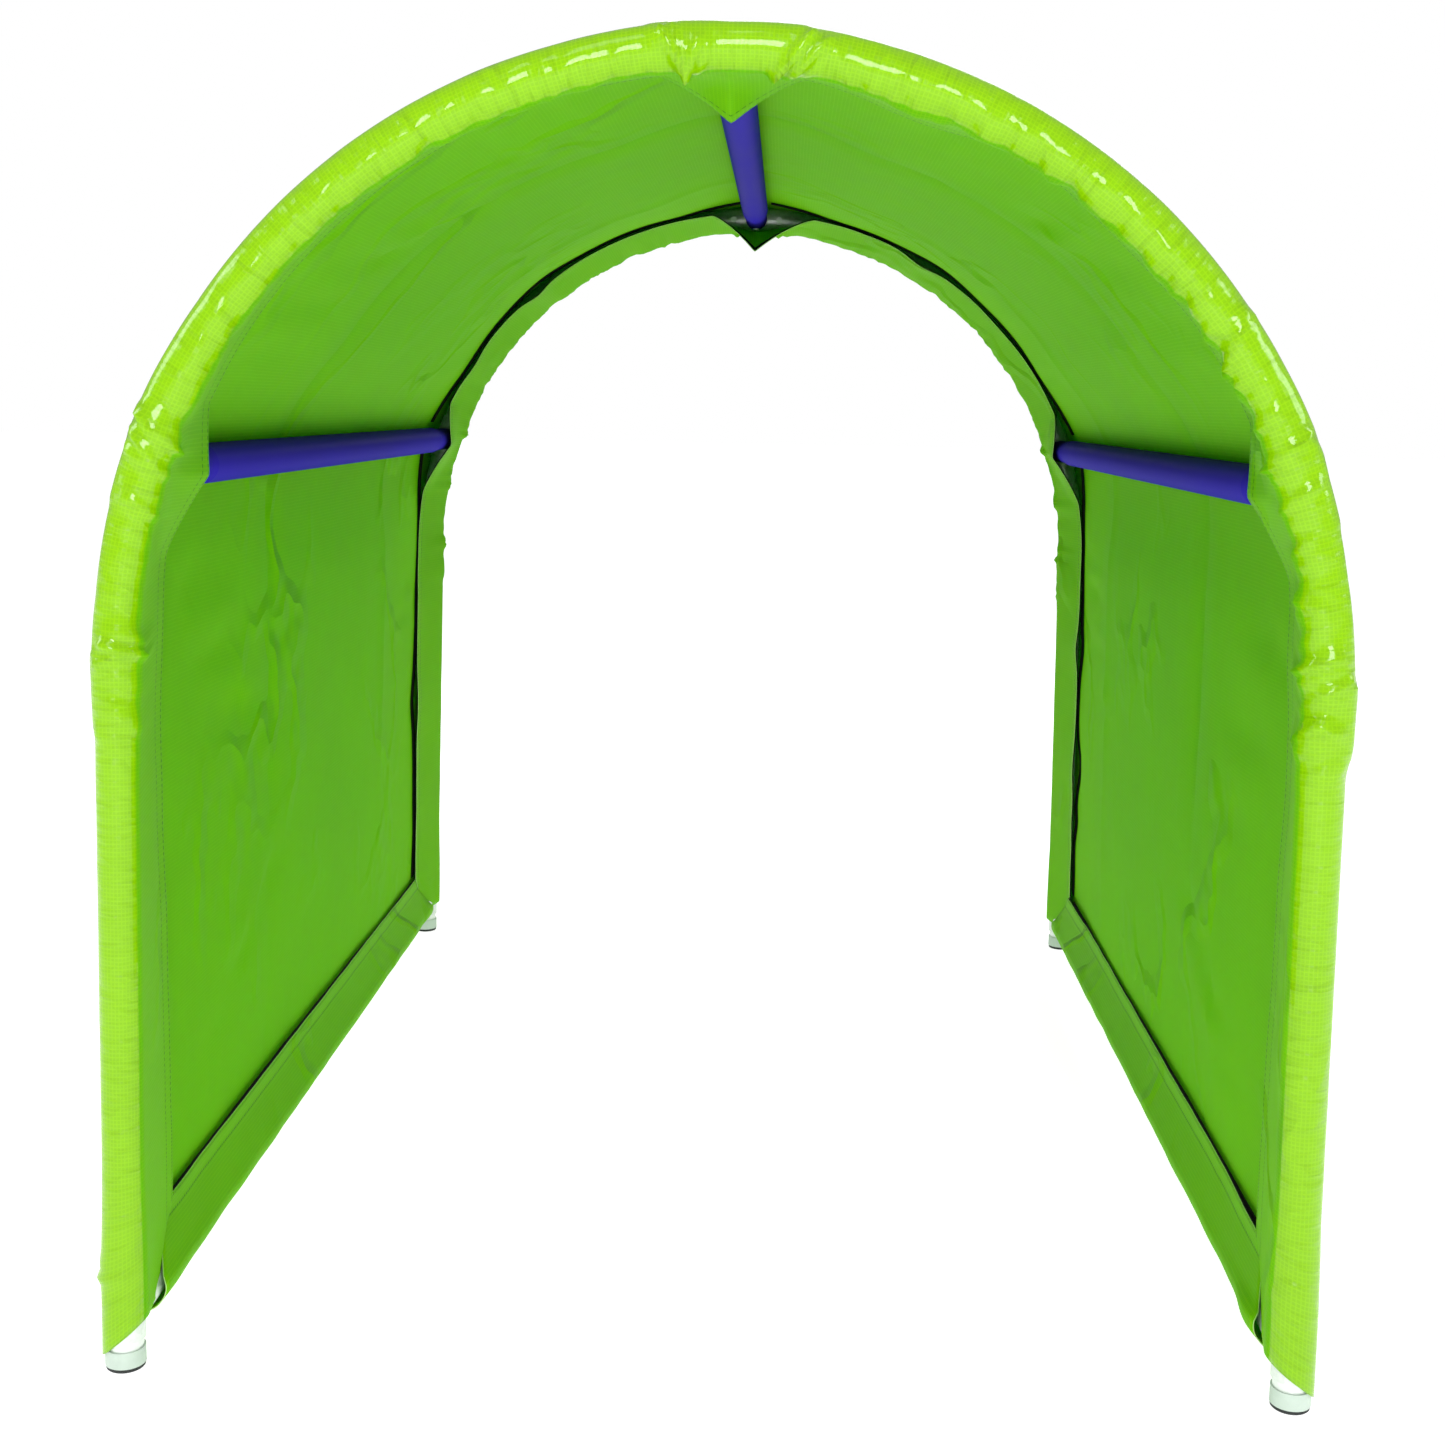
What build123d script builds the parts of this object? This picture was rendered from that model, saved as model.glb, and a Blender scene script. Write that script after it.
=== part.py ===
from build123d import *
import os
from math import acos, atan2, cos, degrees, hypot, radians, sin, tan

# A walk-through tunnel tent: two tube arches joined by three crossbars and two bottom rails,
# under one coated sheet whose edges wrap the arches and the rails and close on themselves with
# hook-and-loop. X runs across the tunnel, Y along it with the front arch at -Y, and Z up from
# the floor midway between the four feet. All sizes are millimetres and degrees.

# Frame
arch_radius = 525.0  # centreline of the half-round top
arch_centre_height = 658.0
leg_splay = 1.15  # each leg leans out by this from the arch down to the foot
arch_spacing = 1490.0
bar_angle = 19.0  # side crossbars, above the horizontal through the arch centre
rail_height = 52.0

# Tubes
tube_diameter = 33.7
tube_wall = 2.0
bar_diameter = 38.0
bar_end_length = 145.0  # reduced end of a crossbar, from the arch centreline
bar_shoulder = 14.0
slip = 0.1  # radial clearance of every tube in its fitting

# Fittings
fitting_wall = 1.65
tee_half_length = 65.0
collar_half_length = 33.0
coupler_length = 66.0
stub_reach = 62.0
stub_gap = 3.0  # fitting surface to the end of the tube on its stub
butt_gap = 1.0

# Feet
foot_height = 20.0
pad_thickness = 4.0
pad_inset = 0.8
foot_floor = 3.0

# Screws
screw_diameter = 5.0
screw_head_diameter = 9.5
screw_head_height = 2.2
screw_hole_slip = 0.1
screw_inside = 2.0  # point of a screw past the inner wall
tee_screw_offset = 36.0
collar_screw_offset = 25.0
coupler_screw_drop = 17.0
bar_screw_reach = 42.0

# Snap buttons
button_diameter = 7.6
button_hole_diameter = 10.0
button_proud = 3.4
button_offset = 50.0  # below the top of the coupler
leaf_length = 42.0
leaf_width = 8.0
leaf_thickness = 1.0
leaf_gap = 1.0  # leaf to the bore of the tube
clip_gap = 0.5

# Cover
sheet = 1.0
sheet_slack = 0.25
arch_flap_depth = 113.0  # arch centreline to the flap's edge
rail_flap_depth = 63.0
hook_width = 20.0
hook_thickness = 1.6
flap_clearance = 0.5
mitre_gap = 2.0
notch_gap = 5.0
cuff_outer_height = 12.0  # lower edge of the arch sleeve, outside and inside the leg
cuff_inner_height = 50.0
hem_setback = 45.0

# Derived places and fits
tube_radius = tube_diameter / 2
bar_radius = bar_diameter / 2
bore_radius = tube_radius + slip
fitting_radius = bore_radius + fitting_wall
stub_radius = tube_radius - tube_wall - slip
stub_bore = stub_radius - tube_wall
stub_start = fitting_radius + stub_gap
sheet_inner = max(fitting_radius, bar_radius) + sheet_slack
sheet_outer = sheet_inner + sheet
flap_offset = sheet_inner - 2 * hook_thickness - flap_clearance - sheet / 2
arch_y = arch_spacing / 2
tangent_height = arch_centre_height + arch_radius * sin(radians(leg_splay))
tangent_x = arch_radius * cos(radians(leg_splay))
leg_top = coupler_length / 2
leg_end = (tangent_height - pad_thickness - foot_floor) / cos(radians(leg_splay))
rail_drop = (tangent_height - rail_height) / cos(radians(leg_splay))
rail_x = tangent_x + rail_drop * sin(radians(leg_splay))
foot_x = tangent_x + tangent_height * tan(radians(leg_splay))
notch_radius = bar_radius + notch_gap

FRONT, REAR = -1, 1
LEFT, RIGHT = -1, 1
ends = {"front": FRONT, "rear": REAR}
sides = {"left": LEFT, "right": RIGHT}
bars = {"left": 180 - bar_angle, "right": bar_angle, "top": 90.0}
corners = [
    (f"{end_name}_{side_name}", end, side)
    for end_name, end in ends.items()
    for side_name, side in sides.items()
]

os.makedirs("parts", exist_ok=True)


def save(piece, label):
    """Label a finished piece and write its file."""
    piece.part.label = label
    export_step(piece.part, f"parts/{label}.step")


def arch_plane(angle, end):
    """Plane across the arch tube: local x points outwards, local y into the tunnel."""
    a = radians(angle)
    return Plane(
        origin=(0, end * arch_y, arch_centre_height),
        x_dir=(cos(a), 0, sin(a)),
        z_dir=(end * sin(a), 0, -end * cos(a)),
    )


def arch_axis(end):
    """Axis of the half-round top, turning from the right leg over to the left."""
    return Axis((0, end * arch_y, arch_centre_height), (0, -1, 0))


def leg_down(side):
    """Direction down a leg."""
    return Vector(side * sin(radians(leg_splay)), 0, -cos(radians(leg_splay)))


def leg_out(side):
    """Direction square to a leg, away from the tunnel."""
    return Vector(side * cos(radians(leg_splay)), 0, sin(radians(leg_splay)))


def leg_plane(side, end, drop=0.0):
    """Plane across a leg, drop below its top: local x outwards, local y into the tunnel."""
    return Plane(
        origin=Vector(side * tangent_x, end * arch_y, tangent_height) + leg_down(side) * drop,
        x_dir=leg_out(side),
        z_dir=leg_down(side) * (end * side),
    )


def rail_plane(side, inset=0.0):
    """Plane across a bottom rail near the front arch: local x outwards, local y up the leg."""
    return Plane(
        origin=(side * rail_x, -arch_y + inset, rail_height),
        x_dir=leg_out(side),
        z_dir=(0, -side, 0),
    )


def bar_plane(angle, reach=0.0, end=FRONT):
    """Plane across a crossbar, reach inside its arch: local x outwards, normal inwards."""
    a = radians(angle)
    return Plane(
        origin=(
            arch_radius * cos(a),
            end * (arch_y - reach),
            arch_centre_height + arch_radius * sin(a),
        ),
        x_dir=(cos(a), 0, sin(a)),
        z_dir=(0, -end, 0),
    )


def ring_sector(inner, outer, start, sweep):
    """Part of a ring between two radii, from the angle start."""
    with BuildSketch() as ring:
        with BuildLine():
            rim = CenterArc((0, 0), outer, start, sweep)
            bore = CenterArc((0, 0), inner, start, sweep)
            Line(rim @ 0, bore @ 0)
            Line(rim @ 1, bore @ 1)
        make_face()
    return ring.sketch


def strip_between(low_x, high_x, low_y, high_y):
    """Rectangle given by its four edges."""
    with BuildSketch() as strip:
        with Locations(((low_x + high_x) / 2, (low_y + high_y) / 2)):
            Rectangle(high_x - low_x, high_y - low_y)
    return strip.sketch


def flap_contact(depth):
    """Angle round a wrapped tube at which its flap leaves for the panel."""
    seam = (flap_offset, depth - hook_width)
    return degrees(atan2(seam[1], seam[0]) + acos((sheet_inner + sheet / 2) / hypot(*seam)))


def flap_section(depth, clearance):
    """Flap from the wrapped tube to its edge against the panel."""
    contact = radians(flap_contact(depth))
    middle = sheet_inner + sheet / 2
    start = Vector(middle * cos(contact), middle * sin(contact))
    seam = Vector(flap_offset, depth - hook_width)
    along = (seam - start).normalized()
    with BuildSketch() as flap:
        with BuildLine() as run:
            Polyline(start + along * clearance, seam, (flap_offset, depth))
        trace(run.line, line_width=sheet)
    return flap.sketch


def annulus(outer, inner):
    """Full ring."""
    with BuildSketch() as ring:
        Circle(outer)
        Circle(inner, mode=Mode.SUBTRACT)
    return ring.sketch


def around_arch(section, end, leg_length, start=leg_splay, stop=180 - leg_splay):
    """Section carried round the arch and down both legs."""
    with BuildPart() as piece:
        with BuildSketch(arch_plane(start, end)):
            with Locations((arch_radius, 0)):
                add(section)
        revolve(axis=arch_axis(end), revolution_arc=stop - start)
        for side in sides.values():
            with BuildSketch(leg_plane(side, end)):
                add(section)
            extrude(amount=leg_length, dir=leg_down(side))
    return piece


def cut_notches(piece, end):
    """Open an arch flap where the crossbars pass through it."""
    with BuildPart() as notched:
        add(piece.part)
        for angle in bars.values():
            with BuildSketch(bar_plane(angle, -sheet_outer, end)):
                Circle(notch_radius)
            extrude(amount=arch_flap_depth + 2 * sheet_outer, mode=Mode.SUBTRACT)
    return notched


def across_plane(origin, inward, down):
    """Plane along a tube: local x into the tunnel, local y down the tube."""
    return Plane(origin=origin, x_dir=inward, z_dir=Vector(inward).cross(down))


def pierce(piece, sites):
    """Drill a piece for the screws that pass through it."""
    with BuildPart() as drilled:
        add(piece.part)
        for site, seat in sites:
            with BuildSketch(site):
                Circle(screw_diameter / 2 + screw_hole_slip)
            extrude(amount=seat + screw_head_height, mode=Mode.SUBTRACT)
    return drilled


def inward(end):
    """Direction from an arch into the tunnel."""
    return Vector(0, -end, 0)


def arch_screw(angle, end):
    """Screw into the arch tube from inside the tunnel."""
    a = radians(angle)
    centre = (arch_radius * cos(a), end * arch_y, arch_centre_height + arch_radius * sin(a))
    return Plane(origin=centre, z_dir=inward(end)), fitting_radius


def leg_screw(side, end, drop):
    """Screw into a leg from inside the tunnel."""
    return Plane(origin=leg_plane(side, end, drop).origin, z_dir=inward(end)), fitting_radius


def bar_screw(angle, end):
    """Screw through the reduced end of a crossbar into its stub."""
    place = bar_plane(angle, bar_screw_reach, end)
    return Plane(origin=place.origin, z_dir=-place.x_dir), tube_radius


def rail_screw(side, end):
    """Screw down through the end of a bottom rail into its stub."""
    place = rail_plane(side).origin
    origin = (place.X, end * (arch_y - bar_screw_reach), place.Z)
    return Plane(origin=origin, z_dir=-leg_down(side)), tube_radius


tee_turn = degrees(tee_screw_offset / arch_radius)
collar_turn = degrees(collar_screw_offset / arch_radius)
side_turn = {side: (90 - bar_angle) * side for side in sides.values()}
tee_screws = {
    (end, side): arch_screw(90 - side * tee_turn, end)
    for end in ends.values()
    for side in sides.values()
}
collar_screws = {
    (end, side): arch_screw(90 - side_turn[side] + side * collar_turn, end)
    for end in ends.values()
    for side in sides.values()
}
coupler_screws = {
    (end, side): leg_screw(side, end, coupler_screw_drop)
    for end in ends.values()
    for side in sides.values()
}
foot_screws = {
    (end, side): leg_screw(side, end, rail_drop - collar_screw_offset)
    for end in ends.values()
    for side in sides.values()
}
bar_screws = {(name, end): bar_screw(bars[name], end) for name in bars for end in ends.values()}
rail_screws = {
    (side, end): rail_screw(side, end) for side in sides.values() for end in ends.values()
}


# Legs, each from the middle of its coupler down into its foot
for corner, end, side in corners:
    with BuildPart() as leg:
        with BuildSketch(leg_plane(side, end, leg_top + butt_gap / 2)):
            add(annulus(tube_radius, tube_radius - tube_wall))
        extrude(amount=leg_end - leg_top - butt_gap / 2, dir=leg_down(side))
        with BuildSketch(leg_screw(side, end, button_offset)[0]):
            Circle(button_hole_diameter / 2)
        extrude(amount=fitting_radius, mode=Mode.SUBTRACT)
    save(pierce(leg, [foot_screws[end, side]]), f"leg_{corner}")

# Quarter arcs, each with a straight tail that reaches the middle of the coupler
for corner, end, side in corners:
    butt_turn = degrees(butt_gap / 2 / arch_radius)
    first = leg_splay if side == RIGHT else 90 + butt_turn
    with BuildPart() as arc:
        with BuildSketch(arch_plane(first, end)):
            with Locations((arch_radius, 0)):
                add(annulus(tube_radius, tube_radius - tube_wall))
        revolve(axis=arch_axis(end), revolution_arc=90 - butt_turn - leg_splay)
        with BuildSketch(leg_plane(side, end)):
            add(annulus(tube_radius, tube_radius - tube_wall))
        extrude(amount=leg_top - butt_gap / 2, dir=leg_down(side))
    sites = [tee_screws[end, side], collar_screws[end, side], coupler_screws[end, side]]
    save(pierce(arc, sites), f"arc_{corner}")

# Couplers between the arcs and the legs
for corner, end, side in corners:
    with BuildPart() as coupler:
        with BuildSketch(leg_plane(side, end)):
            add(annulus(fitting_radius, bore_radius))
        extrude(amount=coupler_length, dir=leg_down(side))
        with BuildSketch(leg_screw(side, end, button_offset)[0]):
            Circle(button_hole_diameter / 2)
        extrude(amount=fitting_radius, mode=Mode.SUBTRACT)
    save(pierce(coupler, [coupler_screws[end, side]]), f"coupler_{corner}")


def arch_fitting(angle, end, half_length):
    """Sleeve on the arch with a stub for a crossbar."""
    half_turn = degrees(half_length / arch_radius)
    with BuildPart() as fitting:
        with BuildSketch(arch_plane(angle - half_turn, end)):
            with Locations((arch_radius, 0)):
                Circle(fitting_radius)
        revolve(axis=arch_axis(end), revolution_arc=2 * half_turn)
        with BuildSketch(bar_plane(angle, 0, end)):
            Circle(stub_radius)
        extrude(amount=stub_reach)
        with BuildSketch(arch_plane(angle - half_turn, end)):
            with Locations((arch_radius, 0)):
                Circle(bore_radius)
        revolve(axis=arch_axis(end), revolution_arc=2 * half_turn, mode=Mode.SUBTRACT)
        with BuildSketch(bar_plane(angle, fitting_radius, end)):
            Circle(stub_bore)
        extrude(amount=stub_reach - fitting_radius, mode=Mode.SUBTRACT)
    return fitting


# Ridge tees and the side collars, with the stubs that carry the crossbars
for end_name, end in ends.items():
    sites = [tee_screws[end, LEFT], tee_screws[end, RIGHT], bar_screws["top", end]]
    save(pierce(arch_fitting(bars["top"], end, tee_half_length), sites), f"ridge_tee_{end_name}")
    for side_name, side in sides.items():
        collar = arch_fitting(bars[side_name], end, collar_half_length)
        sites = [collar_screws[end, side], bar_screws[side_name, end]]
        save(pierce(collar, sites), f"side_collar_{end_name}_{side_name}")

# Foot collars on the legs, with the stubs that carry the bottom rails
for corner, end, side in corners:
    stub_plane = Plane(origin=leg_plane(side, end, rail_drop).origin, z_dir=inward(end))
    with BuildPart() as rail_collar:
        with BuildSketch(leg_plane(side, end, rail_drop - collar_half_length)):
            Circle(fitting_radius)
        extrude(amount=2 * collar_half_length - foot_height / 2, dir=leg_down(side))
        with BuildSketch(stub_plane):
            Circle(stub_radius)
        extrude(amount=stub_reach)
        with BuildSketch(leg_plane(side, end, rail_drop - collar_half_length)):
            Circle(bore_radius)
        extrude(
            amount=2 * collar_half_length - foot_height / 2,
            dir=leg_down(side),
            mode=Mode.SUBTRACT,
        )
        with BuildSketch(stub_plane.offset(fitting_radius)):
            Circle(stub_bore)
        extrude(amount=stub_reach - fitting_radius, mode=Mode.SUBTRACT)
    sites = [foot_screws[end, side], rail_screws[side, end]]
    save(pierce(rail_collar, sites), f"rail_collar_{corner}")

# Crossbars, reduced at both ends to slip over the stubs
bar_half = arch_y - stub_start
bar_reach = arch_y - bar_end_length
for name, angle in bars.items():
    place = bar_plane(angle)
    middle = Plane(
        origin=(place.origin.X, 0, place.origin.Z),
        x_dir=place.x_dir,
        z_dir=place.x_dir.cross(Vector(0, 1, 0)),
    )
    with BuildPart() as bar:
        with BuildSketch(middle):
            with BuildLine():
                Polyline(
                    (bar_radius - tube_wall, 0),
                    (bar_radius - tube_wall, bar_reach - bar_shoulder),
                    (tube_radius - tube_wall, bar_reach),
                    (tube_radius - tube_wall, bar_half),
                    (tube_radius, bar_half),
                    (tube_radius, bar_reach),
                    (bar_radius, bar_reach - bar_shoulder),
                    (bar_radius, 0),
                    (bar_radius - tube_wall, 0),
                )
            make_face()
            mirror(about=Plane.XZ)
        revolve(axis=Axis(middle.origin, (0, 1, 0)))
    sites = [bar_screws[name, end] for end in ends.values()]
    save(pierce(bar, sites), f"crossbar_{name}")

# Bottom rails
for side_name, side in sides.items():
    with BuildPart() as rail:
        with BuildSketch(rail_plane(side, stub_start)):
            add(annulus(tube_radius, tube_radius - tube_wall))
        extrude(amount=arch_spacing - 2 * stub_start, dir=(0, 1, 0))
    sites = [rail_screws[side, end] for end in ends.values()]
    save(pierce(rail, sites), f"bottom_rail_{side_name}")

# Feet: a ferrule on each leg and a pad under it
for corner, end, side in corners:
    ferrule_x = side * (foot_x - foot_height / 2 * tan(radians(leg_splay)))
    with BuildPart() as ferrule:
        with BuildSketch(Plane((ferrule_x, end * arch_y, pad_thickness))):
            Circle(fitting_radius)
        extrude(amount=foot_height - pad_thickness)
        with BuildSketch(leg_plane(side, end, leg_end - foot_height)):
            Circle(bore_radius)
        extrude(amount=foot_height + slip, dir=leg_down(side), mode=Mode.SUBTRACT)
    save(ferrule, f"foot_ferrule_{corner}")
    with BuildPart() as pad:
        with BuildSketch(Plane((ferrule_x, end * arch_y, 0))):
            Circle(fitting_radius - pad_inset)
        extrude(amount=pad_thickness)
        chamfer(pad.faces().sort_by(Axis.Z)[0].edges(), pad_inset)
    save(pad, f"foot_pad_{corner}")

# Screws of the whole frame
with BuildPart() as screws:
    for group in (
        tee_screws,
        collar_screws,
        coupler_screws,
        foot_screws,
        bar_screws,
        rail_screws,
    ):
        for site, seat in group.values():
            shank_start = stub_bore - screw_inside
            with BuildSketch(site.offset(shank_start)):
                Circle(screw_diameter / 2)
            extrude(amount=seat - shank_start)
            with BuildSketch(site.offset(seat)):
                Circle(screw_head_diameter / 2)
            extrude(amount=screw_head_height)
save(screws, "frame_screws")

# Snap buttons: each is one strip with its button, hung from the fold of its clip
leaf_place = tube_radius - tube_wall - leaf_gap - leaf_thickness / 2
clips = []
for corner, end, side in corners:
    centre = leg_plane(side, end, button_offset).origin
    strip_plane = across_plane(centre, inward(end), leg_down(side))
    with BuildPart() as button:
        with BuildSketch(strip_plane):
            with BuildLine() as leaf_line:
                Line((leaf_place, -leaf_width), (leaf_place, leaf_length))
            trace(leaf_line.line, line_width=leaf_thickness)
        extrude(amount=leaf_width / 2, both=True)
        with BuildSketch(Plane(origin=centre + inward(end) * leaf_place, z_dir=inward(end))):
            Circle(button_diameter / 2)
        extrude(amount=fitting_radius + button_proud - leaf_place)
        chamfer(
            button.faces().sort_by(Axis(centre, inward(end)))[-1].edges(),
            button_diameter / 6,
        )
    save(button, f"snap_button_{corner}")
    with BuildPart() as clip:
        with BuildSketch(strip_plane):
            with BuildLine() as back_line:
                Polyline(
                    (leaf_place, leaf_length + leaf_thickness + clip_gap),
                    (leaf_place / 2, leaf_length + leaf_width),
                    (-leaf_place / 2, leaf_length + leaf_width),
                    (-leaf_place, leaf_length),
                    (-leaf_place, 0),
                )
            trace(back_line.line, line_width=leaf_thickness)
        extrude(amount=leaf_width / 2, both=True)
    clips.append(clip)
with BuildPart() as clip_backs:
    for clip in clips:
        add(clip.part)
save(clip_backs, "snap_clip_backs")

# Cover panel over both arches, from rail to rail
panel_section = strip_between(sheet_inner, sheet_outer, 0, arch_spacing)
save(around_arch(panel_section, FRONT, rail_drop), "cover_panel")

# Arch sleeves: the panel's end edges wrapped round the arches, cut away over the feet
sleeve_contact = flap_contact(arch_flap_depth)
sleeve_section = ring_sector(sheet_inner, sheet_outer, sleeve_contact, 360 - sleeve_contact)
for end_name, end in ends.items():
    whole = around_arch(sleeve_section, end, leg_end)
    with BuildPart() as sleeve:
        add(whole.part)
        for side in sides.values():
            slope = (cuff_inner_height - cuff_outer_height) / (2 * sheet_outer)
            outer_x = foot_x + 2 * sheet_outer
            inner_x = foot_x - 2 * sheet_outer
            with BuildSketch(Plane.XZ.offset(-end * arch_y)):
                with BuildLine():
                    Polyline(
                        (side * outer_x, -sheet_outer),
                        (side * outer_x, cuff_outer_height - sheet_outer * slope),
                        (side * inner_x, cuff_inner_height + sheet_outer * slope),
                        (side * inner_x, -sheet_outer),
                        (side * outer_x, -sheet_outer),
                    )
                make_face()
            extrude(amount=2 * sheet_outer, both=True, mode=Mode.SUBTRACT)
    save(sleeve, f"arch_sleeve_{end_name}")


def mitre(piece, side, end, over):
    """Cut a flap along the mitre where an arch flap meets a bottom flap."""
    offset = arch_flap_depth - rail_flap_depth
    gap = mitre_gap / 2 if over else -mitre_gap / 2
    reach = 2 * arch_flap_depth
    far = -reach if over else reach
    origin = leg_plane(side, end, rail_drop).origin
    with BuildPart() as cut:
        add(piece.part)
        with BuildSketch(across_plane(origin, inward(end), -leg_down(side))):
            with BuildLine():
                Polyline(
                    (offset - reach, gap - reach),
                    (offset + reach, gap + reach),
                    (offset + reach, far + gap) if over else (offset - reach, far + gap),
                    (offset - reach, gap - reach),
                )
            make_face()
        extrude(amount=3 * sheet_outer, both=True, mode=Mode.SUBTRACT)
    return cut


# Arch flaps, returned inside and closed on the panel, with slots for the crossbars
for end_name, end in ends.items():
    flap = around_arch(flap_section(arch_flap_depth, 0), end, rail_drop)
    flap = cut_notches(flap, end)
    for side in sides.values():
        flap = mitre(flap, side, end, True)
        with BuildPart() as cleared:
            add(flap.part)
            with BuildSketch(rail_plane(side, (end + 1) * arch_y)):
                Circle(notch_radius)
            extrude(amount=2 * arch_flap_depth, both=True, mode=Mode.SUBTRACT)
        flap = cleared
    save(flap, f"arch_flap_{end_name}")

# Hook and loop strips of the arch flaps
arch_strip_length = rail_drop - rail_flap_depth - mitre_gap
hook_low = flap_offset + sheet / 2
strip_edges = (arch_flap_depth - hook_width, arch_flap_depth)
arch_hook = strip_between(hook_low, hook_low + hook_thickness, *strip_edges)
arch_loop = strip_between(sheet_inner - hook_thickness, sheet_inner, *strip_edges)
for end_name, end in ends.items():
    hook = cut_notches(around_arch(arch_hook, end, arch_strip_length), end)
    save(hook, f"arch_hook_strip_{end_name}")
    loop = cut_notches(around_arch(arch_loop, end, arch_strip_length), end)
    save(loop, f"arch_loop_strip_{end_name}")

# Bottom hems round the rails, and the flaps that peel open from them
rail_contact = flap_contact(rail_flap_depth)
hinge_turn = degrees(sheet / sheet_inner)
hem_section = ring_sector(
    sheet_inner,
    sheet_outer,
    rail_contact + hinge_turn,
    360 - rail_contact - hinge_turn,
)
rail_hook = strip_between(
    hook_low,
    hook_low + hook_thickness,
    rail_flap_depth - hook_width,
    rail_flap_depth,
)
rail_loop = strip_between(
    sheet_inner - hook_thickness,
    sheet_inner,
    rail_flap_depth - hook_width,
    rail_flap_depth,
)


def along_rail(section, side, inset):
    """Section carried along a bottom rail, short of both arches by the inset."""
    with BuildPart() as run:
        with BuildSketch(rail_plane(side, inset)):
            add(section)
        extrude(amount=arch_spacing - 2 * inset, dir=(0, 1, 0))
    return run


for side_name, side in sides.items():
    save(along_rail(hem_section, side, hem_setback), f"bottom_hem_{side_name}")
    flap = along_rail(flap_section(rail_flap_depth, sheet), side, hem_setback)
    for end in ends.values():
        flap = mitre(flap, side, end, False)
    save(flap, f"bottom_flap_{side_name}")
    strip_inset = arch_flap_depth + mitre_gap
    save(along_rail(rail_hook, side, strip_inset), f"bottom_hook_strip_{side_name}")
    save(along_rail(rail_loop, side, strip_inset), f"bottom_loop_strip_{side_name}")
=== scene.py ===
"""Looks of the tunnel tent: one coated sheet wrapped over a tube frame, with its tapes, metals and paint."""

import math

import bmesh
import bpy
from mathutils import Matrix, Vector, noise


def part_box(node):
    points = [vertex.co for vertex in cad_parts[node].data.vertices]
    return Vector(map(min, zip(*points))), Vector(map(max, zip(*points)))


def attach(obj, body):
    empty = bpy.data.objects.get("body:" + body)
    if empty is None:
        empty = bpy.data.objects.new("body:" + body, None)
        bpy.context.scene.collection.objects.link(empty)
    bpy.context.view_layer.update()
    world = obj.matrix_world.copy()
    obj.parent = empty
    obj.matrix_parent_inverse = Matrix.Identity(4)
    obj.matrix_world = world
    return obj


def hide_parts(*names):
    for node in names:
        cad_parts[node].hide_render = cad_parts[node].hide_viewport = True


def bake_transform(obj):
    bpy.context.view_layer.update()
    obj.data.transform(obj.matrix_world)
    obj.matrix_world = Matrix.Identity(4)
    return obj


bl_info = {
    "name": "Tunnel Tent Looks",
    "version": (1, 0, 0),
    "blender": (4, 5, 0),
    "location": "3D View > Sidebar > Tunnel Tent",
    "description": "Builds the cover, tapes, finishes and stage of a tunnel tent on its frame",
    "category": "Object",
}

ROOT = "frame_and_cover"
ENDS = {"front": -1, "rear": 1}
SIDES = {"left": -1, "right": 1}

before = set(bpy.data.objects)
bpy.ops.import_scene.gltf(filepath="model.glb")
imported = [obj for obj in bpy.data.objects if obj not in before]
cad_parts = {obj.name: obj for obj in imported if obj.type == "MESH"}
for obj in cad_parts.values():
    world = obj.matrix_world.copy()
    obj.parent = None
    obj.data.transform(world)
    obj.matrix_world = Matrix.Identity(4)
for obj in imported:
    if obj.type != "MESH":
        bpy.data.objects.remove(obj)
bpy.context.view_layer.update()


# Places read from the frame


def centre_of(node):
    """Middle of a frame node's box."""
    low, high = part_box(node)
    return (low + high) / 2


def size_of(node):
    """Size of a frame node's box."""
    low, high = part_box(node)
    return high - low


top_bar = centre_of("crossbar_top")
side_bar = centre_of("crossbar_right")
bar_rise = top_bar.z - side_bar.z
arch_radius = (side_bar.x**2 + bar_rise**2) / (2 * bar_rise)
arch_height = top_bar.z - arch_radius
arch_y = abs(centre_of("leg_front_left").y)
tube_radius = size_of("leg_front_left").y / 2
bar_radius = size_of("crossbar_top").z / 2
rail = centre_of("bottom_rail_right")
foot_x = centre_of("foot_pad_front_right").x
splay = math.atan2(foot_x - arch_radius, arch_height)
for _ in range(3):  # the lean moves the place where a leg starts, so it is worked out again
    leg_out = foot_x - arch_radius * math.cos(splay)
    splay = math.atan2(leg_out, arch_height + arch_radius * math.sin(splay))
arc_run = arch_radius * (math.pi / 2 - splay)
rail_run = arc_run + (arch_height + arch_radius * math.sin(splay) - rail.z) / math.cos(splay)
bar_run = arch_radius * math.atan2(side_bar.x, side_bar.z - arch_height)
coupler_low, coupler_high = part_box("coupler_front_right")
coupler_run = (arc_run, arc_run + (coupler_high.z - coupler_low.z) / math.cos(splay))
tunnel = 2 * arch_y


def length(name, description, default):
    """A length setting, in metres."""
    return bpy.props.FloatProperty(
        name=name, description=description, default=default, subtype="DISTANCE", unit="LENGTH"
    )


def colour(name, description, default):
    """A colour setting."""
    return bpy.props.FloatVectorProperty(
        name=name, description=description, default=default, subtype="COLOR", min=0, max=1
    )


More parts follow.
